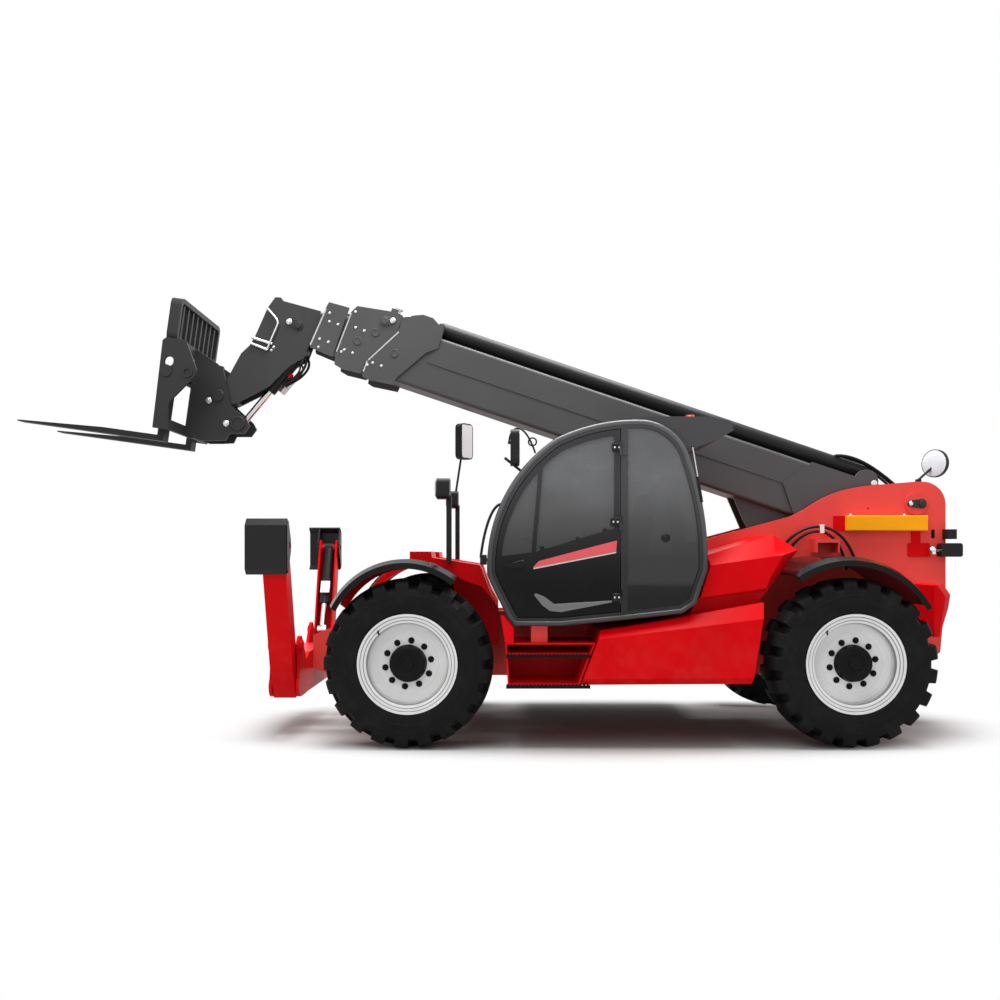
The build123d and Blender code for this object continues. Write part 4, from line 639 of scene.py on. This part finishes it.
def boom_keeper(pin, screw, y):
    """Keeper of a pin: a teardrop plate from the pin to its screw, with the pin's round end on it."""
    pin = np.asarray(pin)
    reach = np.asarray(screw) - pin
    turn = np.array([unit(reach), unit(reach)[::-1] * (-1.0, 1.0)])
    outline = teardrop(0.045, 0.026, np.linalg.norm(reach)) @ turn + pin
    flat = plate(outline * (-1.0, 1.0), on_boom(0, 0, y), -BOOM_ALONG, BOOM_UP, KEEPER_DEPTH, 0.002)
    end = turned([(0.0, 0.030), (0.020, 0.030), (0.023, 0.026)], on_boom(*pin, y), LEFT, 32)
    return [flat, end]


def keeper_screw(keeper, y, size):
    """Bolt at a keeper's screw, with its washer on the keeper's face."""
    return bolt(on_boom(*keeper[1], y + KEEPER_DEPTH), LEFT, size)


rear_screw = turned(FLAT_SCREW, on_boom(0.359, 0.056, COLLAR_1), LEFT)
piece("boom_1_bolts", boom_bolts(BOOM_1_BOLTS, COLLAR_1) + [rear_screw], zinc, "chrome", "boom_1")
boom_2_bolts = boom_bolts(BOOM_2_BOLTS, COLLAR_2) + keeper_screw(KEEPER_2, COLLAR_2, 0.024)
piece("boom_2_bolts", boom_2_bolts, zinc, "chrome", "boom_2")
piece("boom_3_bolts", boom_bolts(BOOM_3_BOLTS, COLLAR_3), zinc, "chrome", "boom_3")
piece("boom_4_bolts", keeper_screw(KEEPER_4, HEAD_SIDE, 0.025), zinc, "chrome", "boom_4")
bosses = boom_discs([(4.476, -0.197)], COLLAR_1)
piece("boom_1_bosses", bosses, boom_paint, "charcoal_paint", "boom_1")
bosses = boom_discs([(4.804, -0.194), (4.685, -0.080)], COLLAR_2) + boom_keeper(*KEEPER_2, COLLAR_2)
piece("boom_2_bosses", bosses, boom_paint, "charcoal_paint", "boom_2")
piece("boom_4_keeper", boom_keeper(*KEEPER_4, HEAD_SIDE), carriage_paint, "black_paint", "boom_4")
# Pale strips along the collar edges: painted highlights
edges = [
    boom_painted_highlight_strip((4.500, -0.019), (4.665, -0.322), COLLAR_1, 0.011)
    + boom_painted_highlight_strip((4.671, -0.332), (4.673, -0.425), COLLAR_1, 0.011),
    boom_painted_highlight_strip((4.928, 0.008), (4.943, -0.336), COLLAR_2, 0.010),
    boom_painted_highlight_strip((5.145, -0.019), (5.174, -0.348), COLLAR_3, 0.012),
]
for section, edge in zip(("boom_1", "boom_2", "boom_3"), edges):
    piece(f"{section}_edge", edge, pale_print_and_painted_highlight, "charcoal_paint", section)

# Guard loop, tie bars and pipes on the boom head
GUARD_BAR = 0.009
loop = np.array([(1.888, 0.118, 3.495), (1.781, 0.118, 3.378), (1.879, 0.118, 3.149)])
first_run = loop[1] - loop[0]
second_run = loop[2] - loop[1]
guard = [tube(bent(loop[0], loop[0] + 0.85 * first_run, loop[1], loop[1] + 0.15 * second_run), GUARD_BAR),
         tube(bent(loop[1] + 0.12 * second_run, loop[1] + 0.5 * second_run, loop[2]), GUARD_BAR)]
guard += [tube([place, place - (0.0, 0.028, 0.0)], GUARD_BAR) for place in (loop[0], loop[2])]
bar_ends = [((2.015, 0.106, 3.247), (1.842, 0.106, 3.191)),
            ((2.020, 0.106, 3.196), (1.879, 0.106, 3.140))]
guard += [tube(np.linspace(first, second, 3), 0.012) for first, second in bar_ends]
guard += bolts([(1.832, HEAD_SIDE, 3.167), (1.851, HEAD_SIDE, 3.142)], LEFT, COLLAR_SCREW)
piece("head_guard", guard, zinc, "chrome", "boom_4")
THICK_BENDS = [(1.62, 0.066, 3.12), (1.53, 0.066, 3.10), (1.53, 0.060, 2.96), (1.765, 0.030, 2.86)]
THIN_BENDS = [(1.66, 0.064, 3.06), (1.59, 0.064, 3.04), (1.59, 0.050, 2.95), (1.75, 0.014, 2.88)]
head_pipes = [tube(bent(*(np.array(bends) * (1.0, side, 1.0))), radius)
              for bends, radius in ((THICK_BENDS, 0.011), (THIN_BENDS, 0.008)) for side in SIDES.values()]
piece("head_pipes", head_pipes, hose_rubber, "black_plastic", "boom_4")
TILT_FOOT = np.array([1.5966, 0.0, 3.1544])
TILT_ALONG = np.array([0.6405, 0.0, -0.768])
TILT_UNDER = np.array([-0.768, 0.0, -0.6405])
block_place = TILT_FOOT + 0.325 * TILT_ALONG + 0.052 * TILT_UNDER - (0.0, 0.045, 0.0)
valve = [plate(oblong(0.150, 0.056, 0.006), block_place, TILT_ALONG, -TILT_UNDER, 0.090, 0.004)]
piece("tilt_valve_block", valve, zinc, "chrome", "boom_4")
cap_place = TILT_FOOT + 0.250 * TILT_ALONG + 0.055 * TILT_UNDER + (0.0, 0.020, 0.0)
cap = [turned([(-0.004, 0.020), (0.030, 0.020), (0.036, 0.014)], cap_place, -TILT_ALONG, 20)]
piece("tilt_valve_cap", cap, red_paint, "red_paint", "boom_4")

# Pins of the fork carriage
CARRIAGE_SIDE = 0.124
PIN_SCREW = 0.026
pins = []
for x, z, radius in ((2.290, 2.7556, 0.050), (2.125, 2.521, 0.062)):
    pins.append(turned([(0.0, radius), (0.010, radius), (0.014, radius - 0.004), (0.014, radius - 0.018),
                        (0.008, radius - 0.020), (0.008, 0.012)], (x, CARRIAGE_SIDE, z), LEFT, 40))
piece("carriage_pins", pins, carriage_paint, "black_paint", "carriage")
screws = bolts([(2.366, CARRIAGE_SIDE, 2.715), (2.223, CARRIAGE_SIDE, 2.522)], LEFT, PIN_SCREW)
piece("carriage_screws", screws, zinc, "chrome", "carriage")

# Rear tower
HOLE = (0.0015, 0.0004)
PIN_X = -3.538
PIN_Z = 1.842
PIN_END = [(0.0, 0.026), (0.012, 0.026), (0.015, 0.022)]
BALL = [(-0.030, 0.010), (-0.026, 0.022), (-0.014, 0.034), (0.0, 0.038), (0.014, 0.034), (0.026, 0.022),
        (0.030, 0.010)]
PIPE = 0.012
UPPER_BENDS = [(-2.36, 0.243, 1.42), (-2.50, 0.345, 1.74), (-2.90, 0.345, 1.76), (-3.02, 0.243, 1.28)]
LOWER_BENDS = [(-2.42, 0.243, 1.40), (-2.53, 0.345, 1.69), (-2.83, 0.345, 1.71), (-2.93, 0.243, 1.30)]
keeper = teardrop(0.040, 0.026, 0.094) + (PIN_X, PIN_Z)
tower = [left_plate(keeper, PLATE_SIDE + 0.017, KEEPER_DEPTH, 0.002),
         turned(PIN_END, (PIN_X, PLATE_SIDE + 0.026, PIN_Z), LEFT, 32)]
piece("tower_keeper", tower, carriage_paint, "black_paint", "chassis")
tower_screws = bolt((-3.444, PLATE_SIDE + 0.020, PIN_Z), LEFT, PIN_SCREW)
tower_screws += bolts([(-2.950, 0.275, 1.745), (-3.390, 0.275, 1.745)], UP, 0.013)
piece("tower_screws", tower_screws, zinc, "chrome", "chassis")
# Dark flat patches where the tower plate has holes: painted shade for their insides
painted_hole_shades = [left_plate(oblong(0.012, 0.012, 0.005) + (-3.103, 1.804), PLATE_SIDE, *HOLE),
         left_plate(oblong(0.030, 0.075, 0.0149) + (-3.639, 1.594), PLATE_SIDE, *HOLE)]
piece("tower_painted_hole_shade", painted_hole_shades, hub_paint, "black_plastic", "chassis")
brackets = [left_plate(oblong(0.104, 0.128, 0.006) + (-2.868, 1.680), PLATE_SIDE, 0.012, 0.002),
            left_plate(oblong(0.075, 0.110, 0.006) + (-3.496, 1.566), PLATE_SIDE, 0.010, 0.002),
            left_plate(oblong(0.180, 0.113, 0.010) + (-3.519, 1.462), PLATE_SIDE, 0.012, 0.002)]
piece("tower_brackets", brackets, red_paint, "red_paint", "chassis")
ball = [turned(BALL, (-3.613, 0.300, 1.457), LEFT, 32),
        tube([(-3.613, 0.272, 1.457), (-3.613, 0.244, 1.457)], 0.012),
        tube([(-3.640, 0.300, 1.457), (-3.672, 0.300, 1.457)], 0.010)]
piece("tower_ball", ball, bright_rod, "chrome", "chassis")
pipes = [tube(bent(*bends), PIPE) for bends in (UPPER_BENDS, LOWER_BENDS)]
piece("tower_pipes", pipes, hose_rubber, "black_plastic", "chassis")
clip = [left_plate(oblong(0.036, 0.070, 0.006) + (-2.698, 1.632), 0.300, 0.036, 0.004)]
piece("pipe_clip", clip, clip_plastic, "black_plastic", "chassis")
along, up = bent((0.70, 0.196), (0.54, 0.262), (0.33, 0.20), (0.10, 0.10)).T[:, :, None]
boom_pipes = [tube(on_boom(along, up, y), PIPE) for y in (0.040, 0.075, -0.040)]
piece("boom_pipes", boom_pipes, hose_rubber, "black_plastic", "boom_1")

# Door trim, handle and window fittings
FILM = (0.0012, 0.0004)
GLASS_FACE = 1.129
STRIPE = [(-0.309, 1.326), (-0.353, 1.376), (-0.926, 1.527), (-0.919, 1.446)]
LINE = [(-0.315, 1.316), (-0.315, 1.326), (-0.919, 1.444), (-0.919, 1.434)]
SWOOSH = [(-0.318, 1.128), (-0.380, 1.050), (-0.435, 1.011), (-0.517, 1.002), (-0.890, 1.074),
          (-0.890, 1.087), (-0.466, 1.061), (-0.400, 1.112), (-0.330, 1.140)]
HANDLE = [(-0.108, 1.320), (-0.116, 1.352), (-0.246, 1.388), (-0.262, 1.352)]
KNOB = [(0.0, 0.016), (0.010, 0.016), (0.016, 0.012), (0.018, 0.006)]
REAR_KNOB = [(0.0, 0.032), (0.008, 0.032), (0.014, 0.026), (0.014, 0.014), (0.018, 0.010)]
STRUT_EYE = [(-0.018, 0.008), (0.012, 0.008), (0.015, 0.005)]
piece("door_stripe", [left_plate(STRIPE, CAB_SIDE, *FILM)], stripe_paint, "red_paint", "door")
piece("door_line", [left_plate(LINE, CAB_SIDE, *FILM)], pale_print_and_painted_highlight, "rim_paint", "door")
# The grey swoosh on the door panel is a painted highlight
swoosh = [left_plate(rounded(SWOOSH, 0.004, 3), CAB_SIDE, 0.005, 0.002)]
piece("door_swoosh", swoosh, swoosh_painted_highlight, "black_paint", "door")
handle = [left_plate(rounded(HANDLE, 0.012), CAB_SIDE, 0.016, 0.005)]
piece("door_handle", handle, black_plastic, "black_plastic", "door")
piece("door_lock", bolt((-0.140, CAB_SIDE + 0.015, 1.344), LEFT, 0.009), zinc, "chrome", "door")
knob_places = [(-0.376, GLASS_FACE, 1.473), (-0.642, GLASS_FACE, 1.536), (-0.837, GLASS_FACE, 1.600)]
knobs = [turned(KNOB, place, LEFT, 24) for place in knob_places]
piece("door_knobs", knobs, black_plastic, "black_plastic", "door")
rear_knob = [turned(REAR_KNOB, (-1.284, GLASS_FACE, 1.546), LEFT, 32)]
piece("rear_window_knob", rear_knob, black_plastic, "black_plastic", "chassis")
strut_top = np.array([-1.473, 1.166, 2.213])
strut_low = np.array([-1.542, 1.166, 1.810])
strut_mid = 0.45 * strut_top + 0.55 * strut_low
strut = [tube([strut_mid, strut_low], 0.010)]
strut += [turned(STRUT_EYE, place, LEFT, 16) for place in (strut_low, strut_top)]
piece("strut_body", strut, black_plastic, "black_plastic", "chassis")
piece("strut_rod", [tube([strut_top, strut_mid], 0.005)], bright_rod, "chrome", "chassis")

# Bead round the cab side, paler than the cab trim as a painted highlight, the door's hinges and the left
# mirror's arm
CAB_FOOT = [(-1.588, 1.311), (-1.504, 1.060), (-1.403, 0.992), (-0.950, 0.942), (-0.514, 0.900),
            (-0.178, 0.900), (-0.128, 0.959), (-0.010, 1.193), (0.024, 1.277)]
HINGES = [(-0.915, 1.661), (-0.925, 1.110), (-0.925, 2.205)]
ARM_Y = 1.100
ARM_BENDS = [(-0.137, ARM_Y, 2.250), (-0.140, ARM_Y, 2.360), (-0.240, ARM_Y, 2.440), (-0.330, ARM_Y, 2.170)]
cab_edge = np.concatenate([
    CAB_FOOT, arc((0.024, 1.277), (-0.145, 1.932), (-0.480, 2.276))[1:],
    arc((-0.480, 2.276), (-0.849, 2.393), (-1.118, 2.410))[1:],
    arc((-1.118, 2.410), (-1.330, 2.325), (-1.462, 2.117))[1:],
    arc((-1.462, 2.117), (-1.566, 1.700), (-1.588, 1.311))[1:-1],
])
bead = inset(cab_edge, 0.020)
bead = np.stack([bead[:, 0], np.full(len(bead), CAB_SIDE - 0.004), bead[:, 1]], -1)
piece("cab_edge_bead", [tube(bead, 0.019, 12, True)], bead_painted_highlight, "black_paint", "chassis", crease=60.0)
leaves = [left_plate(oblong(0.070, 0.062, 0.010) + place, CAB_SIDE, 0.016, 0.004) for place in HINGES]
piece("door_hinge_leaves", leaves, black_plastic, "black_plastic", "door")
screw_places = [(x + dx, CAB_SIDE + 0.015, z) for x, z in HINGES for dx in (-0.014, 0.018)]
piece("door_hinge_screws", bolts(screw_places, LEFT, 0.007), zinc, "chrome", "door")
turn = np.linspace(0.0, 2 * np.pi, 20)[:-1]
ring = np.stack([-0.309 + 0.029 * np.cos(turn), ARM_Y + 0 * turn, 2.253 + 0.029 * np.sin(turn)], -1)
arm = [tube(bent(*ARM_BENDS), 0.007), tube(ring, 0.006, 10, True),
       tube([(-0.160, ARM_Y, 2.245), (-0.128, ARM_Y, 2.250)], 0.012)]
piece("left_mirror_arm", arm, black_plastic, "black_plastic", "chassis")

# Mirrors and lamps
RIGHT_MIRROR = np.array([0.262, -0.745, 2.470])
MIRROR_OUT = np.array([-0.8, 0.6, 0.0])
ROUND_MIRROR = [(0.029, 0.108), (0.032, 0.108), (0.037, 0.085), (0.040, 0.050), (0.041, 0.015)]
# Mirror faces in pale paint: painted reflections
mirrors = [
    plate(oblong(0.150, 0.305, 0.030), RIGHT_MIRROR + 0.0345 * MIRROR_OUT, (-0.6, -0.8, 0), UP, 0.003, 0.001),
    plate(oblong(0.150, 0.230, 0.030), (-0.2115, ARM_Y, 2.208), -LEFT, UP, 0.003, 0.001),
    turned(ROUND_MIRROR, (-3.673, 0.230, 2.175), (0.84, 0.54, 0), 48),
]
piece("mirror_faces", mirrors, mirror_painted_reflection, "chrome", "chassis")
lenses = [plate(oblong(0.170, 0.130, 0.030), (0.4155, side * 0.745, 1.930), LEFT, UP, 0.014, 0.006)
          for side in SIDES.values()]
piece("head_lamp_lenses", lenses, clear_lens, "glass", "chassis")
rear_lens = [plate(oblong(0.080, 0.090, 0.010), (-3.8385, 0.295, 1.461), -LEFT, UP, 0.008, 0.003)]
piece("rear_lamp_lens", rear_lens, red_lens, "red_paint", "chassis")


# Steps, windscreen and stabilizers
def toothed_bar(x_start, x_end, low, high, tooth, count):
    """Outline of a bar whose top edge rises and falls count times by a tooth's height."""
    x = np.linspace(x_start, x_end, 4 * count + 1)
    top = high + tooth * np.tile([0.0, 1.0, 1.0, 0.0], count)
    upper = np.stack([x[:-1], top], -1)
    return np.concatenate([[(x_start, low), (x_end, low), (x_end, high)], upper[::-1]])


grips = [left_plate(toothed_bar(-0.115, -0.730, low, low + 0.024, 0.010, 22), 1.1495, 0.010, 0.0006)
         for low in (0.667, 0.444)]
piece("step_grips", grips, hub_paint, "black_paint", "chassis")
RAIL_Y = 1.090
RAIL_BENDS = [(-0.085, RAIL_Y, 1.795), (-0.010, RAIL_Y, 1.800), (0.050, RAIL_Y, 1.600),
              (0.072, RAIL_Y, 1.400)]
rail = [tube(bent(*RAIL_BENDS), 0.010),
        left_plate(oblong(0.050, 0.075, 0.010) + (0.052, 1.385), RAIL_Y - 0.030, 0.050, 0.004),
        tube([(-0.02, RAIL_Y, 1.385), (0.04, RAIL_Y, 1.385)], 0.010)]
piece("windscreen_rail", rail, black_plastic, "black_plastic", "chassis")
for side_name, side in SIDES.items():
    foot = np.array([1.580, side * 1.120, 1.490])
    down = unit(np.array([0.0, side * (0.760 - 1.120), 0.726 - 1.490]))
    inner = np.cross(down, FORWARD) * side
    place = foot + 0.440 * down + 0.052 * inner - 0.050 * FORWARD
    block = [plate(oblong(0.120, 0.046, 0.006), place, down, np.cross(FORWARD, down), 0.085, 0.004)]
    piece(f"{side_name}_stabilizer_valve", block, zinc, "chrome", f"{side_name}_stabilizer_barrel")


# Seat
SEAT_NET = 0.006
SEAT_PRESSURE = 4.0
SEAT_FRAMES = 20
SEAM_WIDTH = 0.010
SEAM_DEPTH = 0.007


def applied(held):
    """Puts the result of an object's modifiers into its mesh."""
    shape = held.evaluated_get(bpy.context.evaluated_depsgraph_get())
    mesh = bpy.data.meshes.new_from_object(shape)
    held.modifiers.clear()
    held.data = mesh
    points = np.empty(3 * len(mesh.vertices))
    mesh.vertices.foreach_get("co", points)
    return points.reshape(-1, 3)


def padded_seat(most, seat_foot, seams):
    """Seat: the solid's skin on a fine net, blown out by cloth pressure, moved by a set amount at most, flat
    on its base, and drawn in along sewn seams by a bell curve across each."""
    skin = bmesh.new()
    skin.from_mesh(nodes["seat"].data)
    bmesh.ops.remove_doubles(skin, verts=skin.verts, dist=0.00001)
    mesh = bpy.data.meshes.new("padded_seat")
    skin.to_mesh(mesh)
    skin.free()
    held = bpy.data.objects.new("padded_seat", mesh)
    scene.collection.objects.link(held)
    net = held.modifiers.new("net", "REMESH")
    net.mode = "VOXEL"
    net.voxel_size = SEAT_NET
    rest = applied(held)
    points = rest
    padding = held.modifiers.new("padding", "CLOTH")
    padding.settings.quality = 2
    padding.settings.use_pressure = True
    padding.settings.uniform_pressure_force = SEAT_PRESSURE
    padding.settings.effector_weights.gravity = 0.0
    for step in range(1, SEAT_FRAMES + 1):
        scene.frame_set(step)
    points = applied(held)
    scene.frame_set(1)
    move = points - rest
    length = np.maximum(np.linalg.norm(move, axis=1, keepdims=True), 1e-9)
    points = rest + move * np.minimum(1.0, most / length)
    normals = np.empty(3 * len(held.data.vertices))
    held.data.vertices.foreach_get("normal", normals)
    across = points[:, 1:2] - np.asarray(seams)
    drawn = np.exp(-(across / SEAM_WIDTH) ** 2).sum(axis=1, keepdims=True)
    points = points - SEAM_DEPTH * drawn * normals.reshape(-1, 3)
    points[:, 2] = np.maximum(points[:, 2], seat_foot)
    held.data.vertices.foreach_set("co", points.ravel())
    held.data.update()
    held.data.materials.clear()
    held.data.materials.append(seat_cloth)
    held.data.shade_smooth()
    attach(held, "chassis")
    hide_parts("seat")


padded_seat(0.018, 1.2612, (CAB_MIDDLE - 0.13, CAB_MIDDLE + 0.13))


# Floor, light and camera
def floor_material():
    """Pale floor that keeps the soft shadow near the machine, deepened there by a painted shadow, and is
    white towards the camera far off.
    """
    material, tree, shader = new_material("pale_floor")
    x, y = [node(tree, "ShaderNodeSeparateXYZ", (), [object_place(tree)], i) for i in range(2)]
    x = (x + 0.95) * 0.36
    y = (y - 0.15) * 0.80
    away = x * x + y * y
    far = away.between(0.85, 1.6)
    # Painted shadow: the floor colour darkens towards the middle under the machine
    tint = mix_colour(tree, away.between(0.30, 1.10), (0.22, 0.22, 0.22, 1.0), (0.62, 0.62, 0.62, 1.0))
    path = tree.nodes.new("ShaderNodeLightPath")
    seen = Value(tree, path.outputs["Is Camera Ray"])
    white = node(tree, "ShaderNodeEmission", (), {"Color": (1, 1, 1, 1), "Strength": 1.0})
    shader_set(tree, shader, Base_Color=tint, Roughness=0.9, Specular_IOR_Level=0.0)
    plain = Value(tree, shader.outputs["BSDF"])
    mixed = node(tree, "ShaderNodeMixShader", (), [far * seen, plain, white])
    tree.links.new(mixed.socket, tree.nodes["Material Output"].inputs["Surface"])
    return material


def flat_floor(half):
    """Square floor: x and y over a two-by-two grid from -half to half, z = 0."""
    x, y = np.meshgrid([-half, half], [-half, half], indexing="ij")
    mesh = bpy.data.meshes.new("floor")
    corners = np.stack([x, y, 0 * x], -1).reshape(-1, 3)
    mesh.from_pydata(corners.tolist(), [], [(0, 2, 3, 1)])
    mesh.materials.append(floor_material())
    piece = bpy.data.objects.new("floor", mesh)
    scene.collection.objects.link(piece)


flat_floor(40.0)

world = bpy.data.worlds.new("studio")
scene.world = world
world.use_nodes = True
sky = world.node_tree
path = sky.nodes.new("ShaderNodeLightPath")
shown = Value(sky, path.outputs["Is Camera Ray"]) + Value(sky, path.outputs["Is Glossy Ray"])
shown = (shown + Value(sky, path.outputs["Is Transmission Ray"])).math("MINIMUM", 1.0)
background = sky.nodes["Background"]
background.inputs["Color"].default_value = (1.0, 1.0, 1.0, 1.0)
sky.links.new((shown * 0.38 + 0.62).socket, background.inputs["Strength"])


def area_light(name, place, target, size, watts):
    """Soft square lamp at a place, facing a target."""
    lamp = bpy.data.lights.new(name, "AREA")
    lamp.shape = "SQUARE"
    lamp.size = size
    lamp.energy = watts
    held = bpy.data.objects.new(name, lamp)
    held.location = place
    direction = np.array(target, float) - np.array(place, float)
    yaw = math.atan2(direction[1], direction[0]) - math.pi / 2
    pitch = math.acos(-direction[2] / np.linalg.norm(direction))
    held.rotation_euler = (pitch, 0.0, yaw)
    scene.collection.objects.link(held)


area_light("key_light", (2.5, 7.0, 8.0), (-1.0, 0.0, 1.0), 5.0, 220.0)
area_light("top_light", (-1.2, 0.0, 8.0), (-1.2, 0.0, 0.0), 6.0, 1150.0)

camera = bpy.data.cameras.new("camera")
camera.sensor_width = 36.0
camera.lens = 34.78
camera.shift_y = 0.055
camera.clip_end = 200.0
viewer = bpy.data.objects.new("camera", camera)
viewer.location = (-0.07, 8.21, 1.42)
viewer.rotation_euler = (math.pi / 2, 0.0, math.pi)
scene.collection.objects.link(viewer)
scene.camera = viewer
